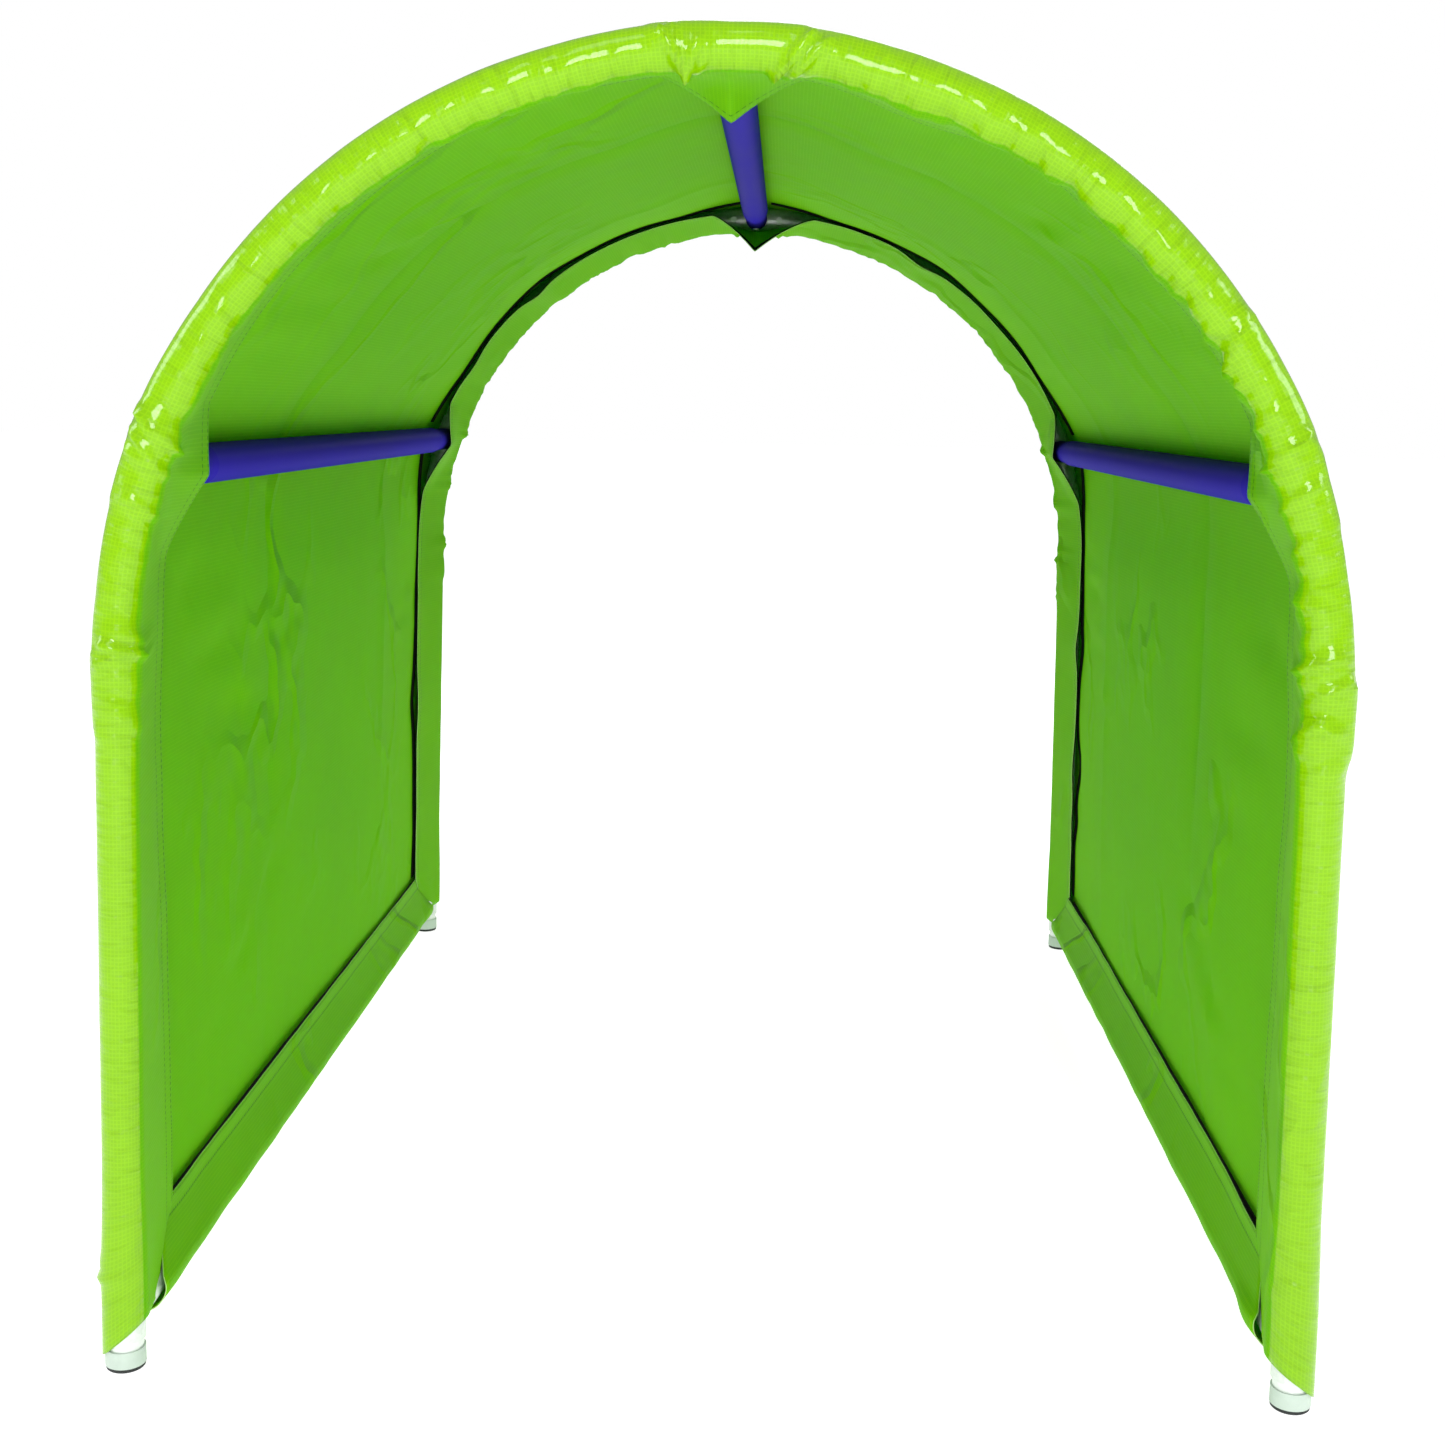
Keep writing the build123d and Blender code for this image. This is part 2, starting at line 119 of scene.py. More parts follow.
class CoverSizes(bpy.types.PropertyGroup):
    """How the sheet is cut and how it hangs."""

    thickness: length("Sheet thickness", "Thickness of the coated sheet", 0.001)
    sleeve_radius: length(
        "Sleeve radius", "Middle of the sheet round a plain tube", tube_radius + 0.0016
    )
    fitting_radius: length(
        "Radius at a fitting",
        "Middle of the sheet round a coupler, tee or collar",
        tube_radius + 0.0029,
    )
    flap_depth: length(
        "Arch flap depth", "From the arch tube's centre to the flap's free edge", 0.113
    )
    bottom_flap_depth: length(
        "Bottom flap depth", "From the bottom rail's centre to the flap's free edge", 0.063
    )
    hem_setback: length(
        "Hem setback", "From an arch tube's centre to the end of the bottom hem", 0.045
    )
    tape_width: length("Tape width", "Width of the hook-and-loop tape", 0.02)
    tape_thickness: length("Tape thickness", "Thickness of one tape with its pile", 0.0016)
    panel_line: length(
        "Panel line",
        "How far outside the arch centreline the tight panel lies between supports",
        0.0035,
    )
    middle_sag: length(
        "Middle sag",
        "How far the panel draws in half-way between the arches and between two bars",
        0.007,
    )


class FinishColours(bpy.types.PropertyGroup):
    """Colours of the finishes."""

    lime: colour("Lime", "Coated side of the sheet", (0.196, 0.440, 0.001))
    # This colour is also used as painted shade on the coated side of the flaps, where the sheet turns into
    # the tunnel.
    lime_under: colour("Lime underside", "Duller inside of the sheet", (0.113, 0.398, 0.002))
    scrim: colour("Scrim", "Threads that show through the coating", (0.30, 0.60, 0.003))
    purple: colour("Purple", "Powder coat of the crossbars", (0.033, 0.020, 0.43))
    zinc: colour("Zinc", "Galvanised tubes and fittings", (0.80, 0.84, 0.81))
    ferrule: colour("Ferrule", "Grey ends of the legs", (0.48, 0.57, 0.50))
    rubber: colour("Rubber", "Pads under the feet", (0.012, 0.016, 0.015))


# Shape of the arch path and of the sheet on it


def arch_point(run):
    """Point on the tube's centreline and its outward direction, run metres from the crown."""
    side = -1 if run < 0 else 1
    reach = abs(run)
    if reach <= arc_run:
        turn = reach / arch_radius
        outward = Vector((side * math.sin(turn), 0, math.cos(turn)))
        return Vector((0, 0, arch_height)) + outward * arch_radius, outward
    outward = Vector((side * math.cos(splay), 0, math.sin(splay)))
    down = Vector((side * math.sin(splay), 0, -math.cos(splay)))
    start = Vector((0, 0, arch_height)) + outward * arch_radius
    return start + down * (reach - arc_run), outward


def place(run, rise, depth, end=-1):
    """Point rise outside the arch centreline and depth into the tunnel from one end."""
    point, outward = arch_point(run)
    point = point + outward * rise
    point.y = end * (arch_y - depth)
    return point


def smooth(low, high, value):
    """Smooth step from 0 at low to 1 at high."""
    share = min(1.0, max(0.0, (value - low) / (high - low)))
    return share * share * (3 - 2 * share)


def bell(offset, width):
    """Bell of height 1."""
    return math.exp(-((offset / width) ** 2))


def soft_max(first, second, blend):
    """Larger of two heights, rounded where they cross."""
    gap = max(0.0, blend - abs(first - second)) / blend
    return max(first, second) + gap * gap * blend / 4


def over_round(offset, radius, reach, ground):
    """Height of a tight sheet over a round bar, from the bar's centre to the ground at reach."""
    offset = abs(offset)
    if offset >= reach:
        return ground
    product = ground * reach
    spread = reach**2 - radius**2
    slope = (-product + math.sqrt(product**2 - spread * (ground**2 - radius**2))) / spread
    touch = radius * slope / math.hypot(1, slope)
    if offset < touch:
        return math.sqrt(radius**2 - offset**2)
    return ground + slope * (reach - offset)


def wander(run, depth, scale, seed):
    """Even, repeatable unevenness between about -1 and 1."""
    return noise.noise(Vector((run / scale, depth / scale, seed)))


INSIDE = Vector((0, 0, arch_height * 0.8))  # a point inside the tunnel
BARS = (-bar_run, 0.0, bar_run)
WRAP_START = math.radians(12)  # where the panel leaves the tube, past its outer line
WRAP_END = math.radians(192)  # where the flap leaves the tube, past its inner line
SEAM_REACH = 0.095  # the sheet's two sides meet this far from a tube
BAR_REACH = 0.15  # the panel comes down from a bar within this
BOTTOM_STRETCH = 0.15  # the lower run that is eased onto the cut edge

# Folds of the sleeve: (end, start run, start turn, finish run, finish turn, height, width).
# A turn is in degrees round the tube: 0 on its outer side, 90 facing out of the tunnel, 180 inside.
FOLDS = (
    (-1, -0.056, 44, -0.034, 176, 0.0076, 0.0044),
    (-1, -0.022, 70, -0.038, 176, 0.0046, 0.0040),
    (-1, 0.072, 44, 0.036, 176, 0.0080, 0.0046),
    (-1, 0.086, 50, 0.056, 150, 0.0044, 0.0042),
    (-1, -0.601, 30, -0.628, 196, 0.0074, 0.0046),
    (-1, -0.617, 40, -0.640, 130, 0.0040, 0.0044),
    (-1, -0.634, 30, -0.650, 190, 0.0026, 0.006),
    (-1, -0.672, 70, -0.690, 200, 0.0024, 0.006),
    (-1, 0.482, 44, 0.535, 196, 0.0050, 0.0058),
    (-1, 0.598, 46, 0.622, 200, 0.0072, 0.0048),
    (-1, 0.640, 60, 0.662, 196, 0.0030, 0.006),
    (-1, 0.684, 110, 0.704, 200, 0.0030, 0.0058),
    (-1, -0.802, 60, -0.816, 196, 0.0058, 0.0050),
    (-1, -0.824, 48, -0.812, 118, 0.0036, 0.0044),
    (-1, -0.884, 40, -0.890, 120, 0.0020, 0.0044),
    (-1, 0.752, 100, 0.736, 200, 0.0040, 0.0054),
    (-1, 0.786, 62, 0.806, 200, 0.0056, 0.0050),
    (-1, 0.806, 44, 0.824, 120, 0.0040, 0.0046),
    (-1, 0.842, 96, 0.868, 200, 0.0046, 0.0048),
    (-1, 0.856, 60, 0.848, 130, 0.0030, 0.0044),
    (-1, 0.884, 50, 0.890, 130, 0.0024, 0.0044),
    (-1, -1.400, -40, -1.384, 120, 0.0030, 0.0062),
    (-1, 1.352, 60, 1.372, 176, 0.0016, 0.006),
    (1, -0.048, 0, -0.030, 190, 0.0056, 0.006),
    (1, 0.055, 0, 0.034, 190, 0.0056, 0.006),
    (1, -0.600, 0, -0.640, 200, 0.0050, 0.0064),
    (1, -0.690, 90, -0.735, 200, 0.0030, 0.0064),
    (1, 0.605, 0, 0.650, 200, 0.0050, 0.0064),
    (1, 0.690, 80, 0.745, 198, 0.0036, 0.0064),
    (1, -0.815, 20, -0.830, 180, 0.0032, 0.0046),
    (1, 0.812, 20, 0.832, 184, 0.0034, 0.0046),
    (1, -0.882, 0, -0.892, 150, 0.0026, 0.0044),
    (1, 0.884, 30, 0.890, 170, 0.0026, 0.0044),
    (1, 1.395, 0, 1.386, 130, 0.0030, 0.005),
)

# Corners in the outline: (end, run, length toward the crown, length toward the foot, height)
KINKS = (
    (-1, -0.050, 0.05, 0.09, 0.0016),
    (-1, 0.062, 0.06, 0.08, 0.0016),
    (-1, -0.602, 0.10, 0.035, 0.0030),
    (-1, 0.600, 0.10, 0.045, 0.0026),
    (-1, -0.820, 0.055, 0.075, 0.0022),
    (-1, 0.826, 0.100, 0.070, 0.0040),
    (-1, 0.868, 0.06, 0.030, 0.0024),
    (1, -0.820, 0.07, 0.08, 0.0026),
    (1, 0.822, 0.07, 0.08, 0.0026),
)

# Lines where the panel was folded for packing: (depth, height, width)
PACKING_FOLDS = ((0.335 * tunnel, 0.0026, 0.006), (0.74 * tunnel, -0.0022, 0.006))

# Long tension creases of the panel: (start run, start depth, finish run, finish depth, height, width)
TENSION = (
    (-0.60, 0.15, -0.20, 0.62, 0.0016, 0.022),
    (0.58, 0.13, 0.16, 0.55, 0.0017, 0.022),
    (-0.72, 0.16, -1.12, 0.60, 0.0016, 0.026),
    (0.72, 0.15, 1.18, 0.52, 0.0017, 0.026),
    (0.60, 1.34, 0.22, 0.95, 0.0015, 0.020),
    (-0.60, 1.35, -0.16, 0.98, 0.0015, 0.020),
    (0.78, 1.36, 1.10, 1.02, 0.0022, 0.020),
    (-0.84, 1.36, -1.06, 1.12, 0.0016, 0.018),
    (1.34, 0.18, 0.92, 0.86, 0.0014, 0.030),
    (-1.32, 0.20, -0.98, 0.74, 0.0014, 0.030),
    (-0.10, 0.14, -0.34, 0.42, 0.0014, 0.016),
    (0.12, 0.14, 0.36, 0.40, 0.0014, 0.016),
)

# Places where the tapes have let go and the panel stands off: (end, run, height, length)
LIFTS = (
    (1, 1.155, 0.0075, 0.040),
    (1, 0.965, 0.0040, 0.034),
    (1, 1.245, 0.0030, 0.024),
    (1, -1.075, 0.0045, 0.040),
    (1, 0.30, 0.0038, 0.06),
    (1, -0.36, 0.0034, 0.06),
    (-1, 1.02, 0.0030, 0.05),
    (-1, -1.10, 0.0026, 0.05),
)


# Places where a flap's free edge hangs away from the panel: (end, run, height, length)
SLACK = (
    (-1, 0.17, 0.012, 0.07),
    (-1, 0.40, 0.006, 0.08),
    (-1, 0.80, 0.004, 0.05),
    (-1, -0.80, 0.003, 0.05),
    (1, 0.27, 0.006, 0.030),
    (1, 0.42, 0.002, 0.05),
    (1, -0.37, 0.005, 0.022),
    (1, -0.52, 0.004, 0.03),
    (1, 0.96, 0.003, 0.03),
)


def line_offset(run, across, start, finish):
    """Signed distance from a line on the sheet, and the share of the way along it."""
    along_run = finish[0] - start[0]
    along_across = finish[1] - start[1]
    length = math.hypot(along_run, along_across)
    from_run = run - start[0]
    from_across = across - start[1]
    share = (from_run * along_run + from_across * along_across) / length**2
    side = (from_run * along_across - from_across * along_run) / length
    return side, share


def sleeve_folds(run, turn, end, radius):
    """Height of the sleeve's folds at a place."""
    height = 0.0
    across = radius * turn
    for fold_end, run_a, turn_a, run_b, turn_b, rise, width in FOLDS:
        if fold_end != end or not min(run_a, run_b) - 0.04 < run < max(run_a, run_b) + 0.04:
            continue
        start = (run_a, radius * math.radians(turn_a))
        finish = (run_b, radius * math.radians(turn_b))
        side, share = line_offset(run, across, start, finish)
        fade = smooth(-0.06, 0.16, share) * (1 - smooth(0.86, 1.10, share))
        ridge = max(0.0, 1 - abs(side) / (1.2 * width)) ** 1.2
        second = max(0.0, 1 - abs(side - 2.3 * width) / (1.2 * width)) ** 1.2
        swell = 0.3 * bell(side - 1.1 * width, 2.6 * width)
        height += rise * fade * (1.2 * ridge + 0.35 * second + swell)
    return height


def gathers(run, turn, end):
    """Looseness and small gathers on the inner side of a sleeve's arc, where the sheet is too long."""
    reach = abs(run)
    inner = smooth(math.radians(40), math.radians(125), turn)
    on_arc = smooth(0.05, 0.16, reach) * (1 - smooth(0.86, 0.93, reach))
    off_bar = smooth(0.02, 0.07, abs(reach - bar_run))
    if end < 0:
        loose = 0.0026 if run < 0 else 0.0060
        amount = 0.0028 if run < 0 else 0.0036
        leg = 0.0004 if run < 0 else 0.0040
    else:
        loose = 0.0030
        amount = 0.0022
        leg = 0.0016
    slant = turn * 0.010 * (1 if run < 0 else -1)
    small = 1 - 2.4 * abs(noise.noise(Vector(((run + slant) / 0.019, turn * 0.45, 4.4 + end))))
    large = noise.noise(Vector(((run + slant) / 0.055, turn * 0.3, 8.8 + end)))
    amount *= 1 - 0.45 * smooth(0.64, 0.72, reach)
    height = inner * on_arc * (loose * (0.6 + 0.8 * large) + off_bar * amount * small)
    return height + inner * (1 - on_arc) * leg * smooth(0.6, 0.9, reach)


def sleeve_swell(run):
    """Share of a fitting's size that the sleeve has at a run."""
    reach = abs(run)
    coupler = smooth(coupler_run[0] - 0.007, coupler_run[0] + 0.002, reach)
    coupler *= 1 - smooth(coupler_run[1] - 0.003, coupler_run[1] + 0.007, reach)
    tee = 1 - smooth(0.058, 0.070, reach)
    collar = 1 - smooth(0.028, 0.040, abs(reach - bar_run))
    foot = 1.7 * smooth(rail_run - 0.15, rail_run - 0.03, reach)
    return max(coupler, tee, collar, foot)


def sleeve_radius_at(run, turn, end, sizes):
    """Radius of the sheet round the tube, with its folds."""
    plain = sizes.sleeve_radius
    swell = sleeve_swell(run)
    radius = plain + (sizes.fitting_radius - plain) * swell
    reach = abs(run)
    outer = 1 - smooth(math.radians(30), math.radians(100), turn)
    for kink_end, kink_run, before, after, height in KINKS:
        if kink_end == end:
            away = run - kink_run
            width = before if away * kink_run < 0 else after
            radius += height * outer * max(0.0, 1 - abs(away) / width)
    folds = sleeve_folds(run, turn, end, sizes.fitting_radius)
    uneven = wander(run, plain * turn, 0.045, 3.1 + end) * 0.00045
    return max(plain, radius + folds + uneven + gathers(run, turn, end))


def panel_rise(run, depth, sizes):
    """Height of the panel outside the arch centreline."""
    near_end = min(depth, tunnel - depth)
    end = -1 if depth < tunnel / 2 else 1
    ground = sizes.panel_line
    rise = over_round(near_end, sleeve_radius_at(run, 0, end, sizes), SEAM_REACH, ground)
    for bar in BARS:
        reach = BAR_REACH * (0.8 + 0.25 * smooth(0, 0.3, near_end))
        rise = soft_max(rise, over_round(run - bar, bar_radius + 0.0011, reach, ground), 0.004)
    up = rail_run - abs(run)
    rail_rise = over_round(max(up, 0.0), sizes.fitting_radius, 0.052, ground)
    rise = soft_max(rise, rail_rise, 0.003)
    free = smooth(0.03, 0.12, near_end) * smooth(0.0, 0.10, up)
    off_bars = 1.0
    for bar in BARS:
        off_bars *= smooth(0.03, 0.16, abs(run - bar))
    rise -= sizes.middle_sag * off_bars * smooth(0.05, 0.5, near_end) * smooth(0.02, 0.3, up)
    rise += 0.0032 * free * (0.15 + off_bars) * wander(run, depth, 0.30, 7.7)
    rise += 0.0013 * free * (0.1 + off_bars) * wander(run, depth, 0.085, 1.3)
    for fold_depth, height, width in PACKING_FOLDS:
        wobble = 0.006 * wander(run, 0.2, 0.25, fold_depth * 9)
        fade = 1 - 0.75 * smooth(0.95, 1.25, abs(run))
        rise += height * fade * bell(depth - fold_depth - wobble, width) * free
    for run_a, depth_a, run_b, depth_b, height, width in TENSION:
        side, share = line_offset(run, depth, (run_a, depth_a), (run_b, depth_b))
        side += 0.35 * width * wander(run, depth, 0.10, 6.2)
        width *= 0.55
        if abs(side) < 4 * width and -0.1 < share < 1.1:
            fade = smooth(0, 0.2, share) * (1 - smooth(0.45, 1.0, share))
            rise += 2.6 * height * fade * (bell(side, width) - 0.8 * bell(side - 1.8 * width, width))
    for lift_end, lift_run, height, length in LIFTS:
        if lift_end == end:
            rise += height * bell(run - lift_run, length) * bell(near_end - 0.10, 0.034)
    clear = bar_radius + 0.0009
    for bar in BARS:
        if abs(run - bar) < clear:
            rise = max(rise, math.sqrt(clear**2 - (run - bar) ** 2))
    return rise


def flap_edge_rise(run, end, sizes):
    """Height of an arch flap's taped part where it lies against the panel."""
    lift = 0.0
    for lift_end, lift_run, height, length in LIFTS:
        if lift_end == end:
            lift += height * bell(run - lift_run, length)
    gap = 2 * sizes.tape_thickness + sizes.thickness + 0.0008
    slack = (0.0068 if end < 0 else 0.002) * smooth(0.86, 1.32, abs(run))
    for slack_end, slack_run, height, length in SLACK:
        if slack_end == end:
            slack += height * bell(run - slack_run, length)
    return sizes.panel_line - gap - slack - 0.35 * lift


def flap_rise(run, share, end, sizes):
    """Height and depth of an arch flap, from the tube at share 0 to its free edge at 1."""
    radius = sleeve_radius_at(run, WRAP_END, end, sizes)
    start_rise = radius * math.cos(WRAP_END)
    start_depth = -radius * math.sin(WRAP_END)
    depth = start_depth + (sizes.flap_depth - start_depth) * share
    seam = (SEAM_REACH - 0.004 - start_depth) / (sizes.flap_depth - start_depth)
    edge = flap_edge_rise(run, end, sizes)
    rise = start_rise + (edge - start_rise) * min(1.0, share / seam)
    rise += 0.0006 * smooth(0.1, 0.5, share) * wander(run, depth, 0.05, 5.5 + end)
    for index, bar in enumerate(BARS):
        offset = run - bar
        top = index == 1
        rear_right = end > 0 and offset > 0
        reach = (0.092 if rear_right else 0.066) if top else 0.082
        upward = offset * (1 if bar > 0 else -1) < 0
        if not top and upward:
            reach = 0.062
        sag = (0.036 if end > 0 else 0.024) if top else 0.005
        sag *= smooth(0.25, 1.0, share)
        reach = 0.030 + (reach - 0.030) * smooth(0.0, 0.8, share)
        if abs(offset) > reach:
            continue
        hump = over_round(offset, bar_radius + 0.0016, reach, -rise)
        droop = sag * (1 - abs(offset) / reach) ** 1.35
        rise = min(rise, -hump) - droop
        depth -= 0.006 * share * bell(offset, 0.03)
    return rise, depth


def cut_edge(turn, foot_outer=0.012, foot_inner=0.050):
    """Height of the sleeve's lower edge above the rail line at a turn round the leg."""
    share = (1 - math.cos(turn)) / 2
    return foot_outer + (foot_inner - foot_outer) * share - rail.z


def lower_edge(station, sizes):
    """Where the sheet ends at the bottom, above the rail line, for a station across it."""
    kind, _, value = station
    if kind == "wrap":
        return cut_edge(value)
    if kind == "panel":
        near_end = min(value, tunnel - value)
        if near_end >= sizes.hem_setback:
            return 0.0
        share = near_end / sizes.hem_setback
        return cut_edge(0) * (1 - share)
    start = cut_edge(WRAP_END)
    depth = sizes.flap_depth * value
    mitre = depth - (sizes.flap_depth - sizes.bottom_flap_depth) + 0.001
    return max(mitre, start)


def graded(low, high, hot, coarse):
    """Stations from low to high, close together near each hot place: (place, half width, fine step)."""
    stations = [low]
    while stations[-1] < high:
        here = stations[-1]
        step = coarse
        for place_at, half, fine in hot:
            away = max(0.0, abs(here - place_at) - half)
            step = min(step, fine + away * 0.25)
        stations.append(here + step)
    scale = (high - low) / (stations[-1] - low)
    return [low + (value - low) * scale for value in stations]


def run_stations(sharp=0.0034, fine=0.0061, coarse=0.0120):
    """Stations along the arch path, closest at the fittings' folds, close on the arc and at the cut edges."""
    gathered = coupler_run[1] + 0.02
    hot = [
        (gathered / 2, gathered / 2, fine),
        (rail_run - 0.035, 0.035, fine),
        (0.0, 0.090, sharp),
        (bar_run + 0.012, 0.038, sharp),
        (coupler_run[0] + 0.010, 0.024, sharp),
    ]
    half = graded(0.0, rail_run, hot, coarse)
    return [-value for value in reversed(half[1:])] + half


def cover_stations(sizes):
    """Stations across the sheet, from the front flap's edge to the rear flap's edge."""
    flap = [1.0, 0.985, 0.92, 0.84, 0.74, 0.62, 0.5, 0.37, 0.24, 0.12, 0.04]
    turns = [WRAP_END - (WRAP_END + WRAP_START) * step / 18 for step in range(19)]
    near = [0.0085, 0.016, 0.028, 0.045, 0.062, 0.078, 0.090, 0.101, 0.112, 0.135, 0.165]
    fold = PACKING_FOLDS[0][0]
    second = tunnel - PACKING_FOLDS[1][0]
    far = [0.22, 0.30, second - 0.010, second, second + 0.010]
    far += [0.44, fold - 0.010, fold, fold + 0.010, 0.58, 0.66]
    half = sorted(near + far)
    stations = [("flap", -1, value) for value in flap]
    stations += [("wrap", -1, value) for value in turns]
    stations += [("panel", 0, value) for value in half]
    stations.append(("panel", 0, tunnel / 2))
    stations += [("panel", 0, tunnel - value) for value in reversed(half)]
    stations += [("wrap", 1, value) for value in reversed(turns)]
    stations += [("flap", 1, value) for value in reversed(flap)]
    return stations


def cover_point(run, station, sizes):
    """Place of the sheet for a run along the arch and a station across it."""
    kind, end, value = station
    low = lower_edge(station, sizes)
    up = rail_run - abs(run)
    if up < BOTTOM_STRETCH:
        up = low + up * (BOTTOM_STRETCH - low) / BOTTOM_STRETCH
        run = math.copysign(rail_run - up, run)
    if kind == "panel":
        return place(run, panel_rise(run, value, sizes), value)
    if kind == "wrap":
        radius = sleeve_radius_at(run, value, end, sizes)
        return place(run, radius * math.cos(value), -radius * math.sin(value), end)
    rise, depth = flap_rise(run, value, end, sizes)
    return place(run, rise, depth, end)


def sheet_lengths(points):
    """Distance of each point from the first, measured along the sheet."""
    lengths = [0.0]
    for first, second in zip(points, points[1:]):
        lengths.append(lengths[-1] + (second - first).length)
    return lengths


def cover_lengths(sizes):
    """Distance of each station across the cover from its front edge, measured on a leg."""
    on_leg = arc_run + 0.25
    return sheet_lengths([cover_point(on_leg, each, sizes) for each in cover_stations(sizes)])


# Mesh and object helpers


def sheet_grid(shape, along, across):
    """Add a flat grid with the given stations and return its vertices in rows."""
    columns = len(along)
    rows = len(across)
    made = bmesh.ops.create_grid(
        shape,
        x_segments=columns - 1,
        y_segments=rows - 1,
        size=1.0,
        calc_uvs=False,
    )
    table = {}
    for vertex in made["verts"]:
        column = round((vertex.co.x + 1) / 2 * (columns - 1))
        row = round((vertex.co.y + 1) / 2 * (rows - 1))
        table[column, row] = vertex
    return table


def write_sheet_map(shape, table, along, across):
    """Give the grid's faces a map in metres along and across the flat sheet."""
    layer = shape.loops.layers.uv.get("sheet") or shape.loops.layers.uv.new("sheet")
    places = {vertex: (along[c], across[r]) for (c, r), vertex in table.items()}
    for face in shape.faces:
        if all(loop.vert in places for loop in face.loops):
            for loop in face.loops:
                loop[layer].uv = places[loop.vert]


def piece_from(shape, name, finishes):
    """Turn a finished bmesh into a named piece with its finishes."""
    mesh = bpy.data.meshes.new(name)
    for face in shape.faces:
        face.smooth = True
    shape.to_mesh(mesh)
    shape.free()
    piece = bpy.data.objects.new(name, mesh)
    bpy.context.scene.collection.objects.link(piece)
    for finish in finishes:
        mesh.materials.append(finish_named(finish))
    return piece


def thicken(piece, thickness, back=0, rim=0):
    """Give a sheet its thickness. Its back and its cut edge take finishes further down the list."""
    wall = piece.modifiers.new("thickness", "SOLIDIFY")
    wall.thickness = thickness
    wall.offset = 0.0
    wall.use_even_offset = False
    wall.use_rim = True
    wall.material_offset = back
    wall.material_offset_rim = rim


def face_out(shape, inside):
    """Turn a sheet's faces so that most point away from a point inside the tunnel."""
    shape.normal_update()
    score = 0.0
    for face in shape.faces:
        score += face.normal.dot(face.calc_center_median() - inside) * face.calc_area()
    if score < 0:
        bmesh.ops.reverse_faces(shape, faces=shape.faces)


# Node helpers


class Signal:
    """A socket or number that Python arithmetic turns into Math nodes."""

    def __init__(self, finish, value):
        self.finish = finish
        self.value = value

    def combine(self, operation, *others, clamp=False):
        """Add a Math node on this value and the others."""
        values = [self.value] + [getattr(other, "value", other) for other in others]
        settings = {"operation": operation, "use_clamp": clamp}
        return self.finish.node("ShaderNodeMath", settings, dict(enumerate(values)))

    def __add__(self, other):
        return self.combine("ADD", other)

    def __radd__(self, other):
        return self.combine("ADD", other)

    def __sub__(self, other):
        return self.combine("SUBTRACT", other)

    def __rsub__(self, other):
        return Signal(self.finish, other).combine("SUBTRACT", self)

    def __mul__(self, other):
        return self.combine("MULTIPLY", other)

    def __rmul__(self, other):
        return self.combine("MULTIPLY", other)

    def __truediv__(self, other):
        return self.combine("DIVIDE", other)

    def clamped(self):
        """The value held between 0 and 1."""
        return self.combine("ADD", 0.0, clamp=True)


class Finish:
    """A material under construction."""

    def __init__(self, name):
        self.material = bpy.data.materials.new(name)
        self.material.use_nodes = True
        self.tree = self.material.node_tree
        self.tree.nodes.clear()
        self.shader = self.tree.nodes.new("ShaderNodeBsdfPrincipled")
        output = self.tree.nodes.new("ShaderNodeOutputMaterial")
        self.tree.links.new(self.shader.outputs["BSDF"], output.inputs["Surface"])

    def join(self, socket, value):
        """Link a socket or signal to a socket, or give it a number or colour."""
        value = getattr(value, "value", value)
        if isinstance(value, bpy.types.NodeSocket):
            self.tree.links.new(value, socket)
        else:
            socket.default_value = value

    def node(self, kind, settings, inputs, output=0):
        """Add a node with its settings and inputs, and return one of its outputs."""
        made = self.tree.nodes.new(kind)
        for name, value in settings.items():
            setattr(made, name, value)
        for name, value in inputs.items():
            self.join(made.inputs[name], value)
        return Signal(self, made.outputs[output])

    def flat_map(self):
        """Place on the flat sheet, in metres."""
        return self.node("ShaderNodeUVMap", {"uv_map": "sheet"}, {}, "UV")

    def place_map(self):
        """Place in the object, in metres."""
        return self.node("ShaderNodeTexCoord", {}, {}, "Object")

    def noise(self, vector, scale, detail=3.0, roughness=0.5):
        """Cloudy noise between 0 and 1."""
        inputs = {"Vector": vector, "Scale": scale, "Detail": detail, "Roughness": roughness}
        return self.node("ShaderNodeTexNoise", {}, inputs, "Fac")

    def axes(self, vector):
        """The three parts of a vector."""
        part = self.node("ShaderNodeSeparateXYZ", {}, {"Vector": vector}, "X")
        outputs = part.value.node.outputs
        return [Signal(self, outputs[name]) for name in ("X", "Y", "Z")]

    def mix(self, factor, first, second):
        """Blend of two colours."""
        settings = {"data_type": "RGBA", "clamp_factor": True}
        inputs = {0: factor, 6: first, 7: second}
        return self.node("ShaderNodeMix", settings, inputs, 2)

    def bump(self, height, strength, distance, normal=None):
        """Bumps of a height, on top of an earlier bump if one is given."""
        inputs = {"Height": height, "Strength": strength, "Distance": distance}
        if normal is not None:
            inputs["Normal"] = normal
        return self.node("ShaderNodeBump", {}, inputs, "Normal")

    def threads(self, value, pitch, width):
        """Lines across one direction: 1 on a thread and 0 between threads."""
        wave = (value * (2 * math.pi / pitch)).combine("COSINE")
        return ((wave - (1 - width)) / width).clamped()

    def set(self, **values):
        """Set the shader's inputs and return the material."""
        for name, value in values.items():
            self.join(self.shader.inputs[name.replace("_", " ")], value)
        return self.material


def rgba(colour, factor=1.0):
    """Colour with full alpha, made lighter or darker."""
    return (*[min(1.0, part * factor) for part in colour[:3]], 1.0)


SLEEVE_CLOTH = 0.155  # from the sheet's cut edge to where it leaves an arch tube
SCRIM_PITCH = 0.0037
STITCH_PITCH = 0.006


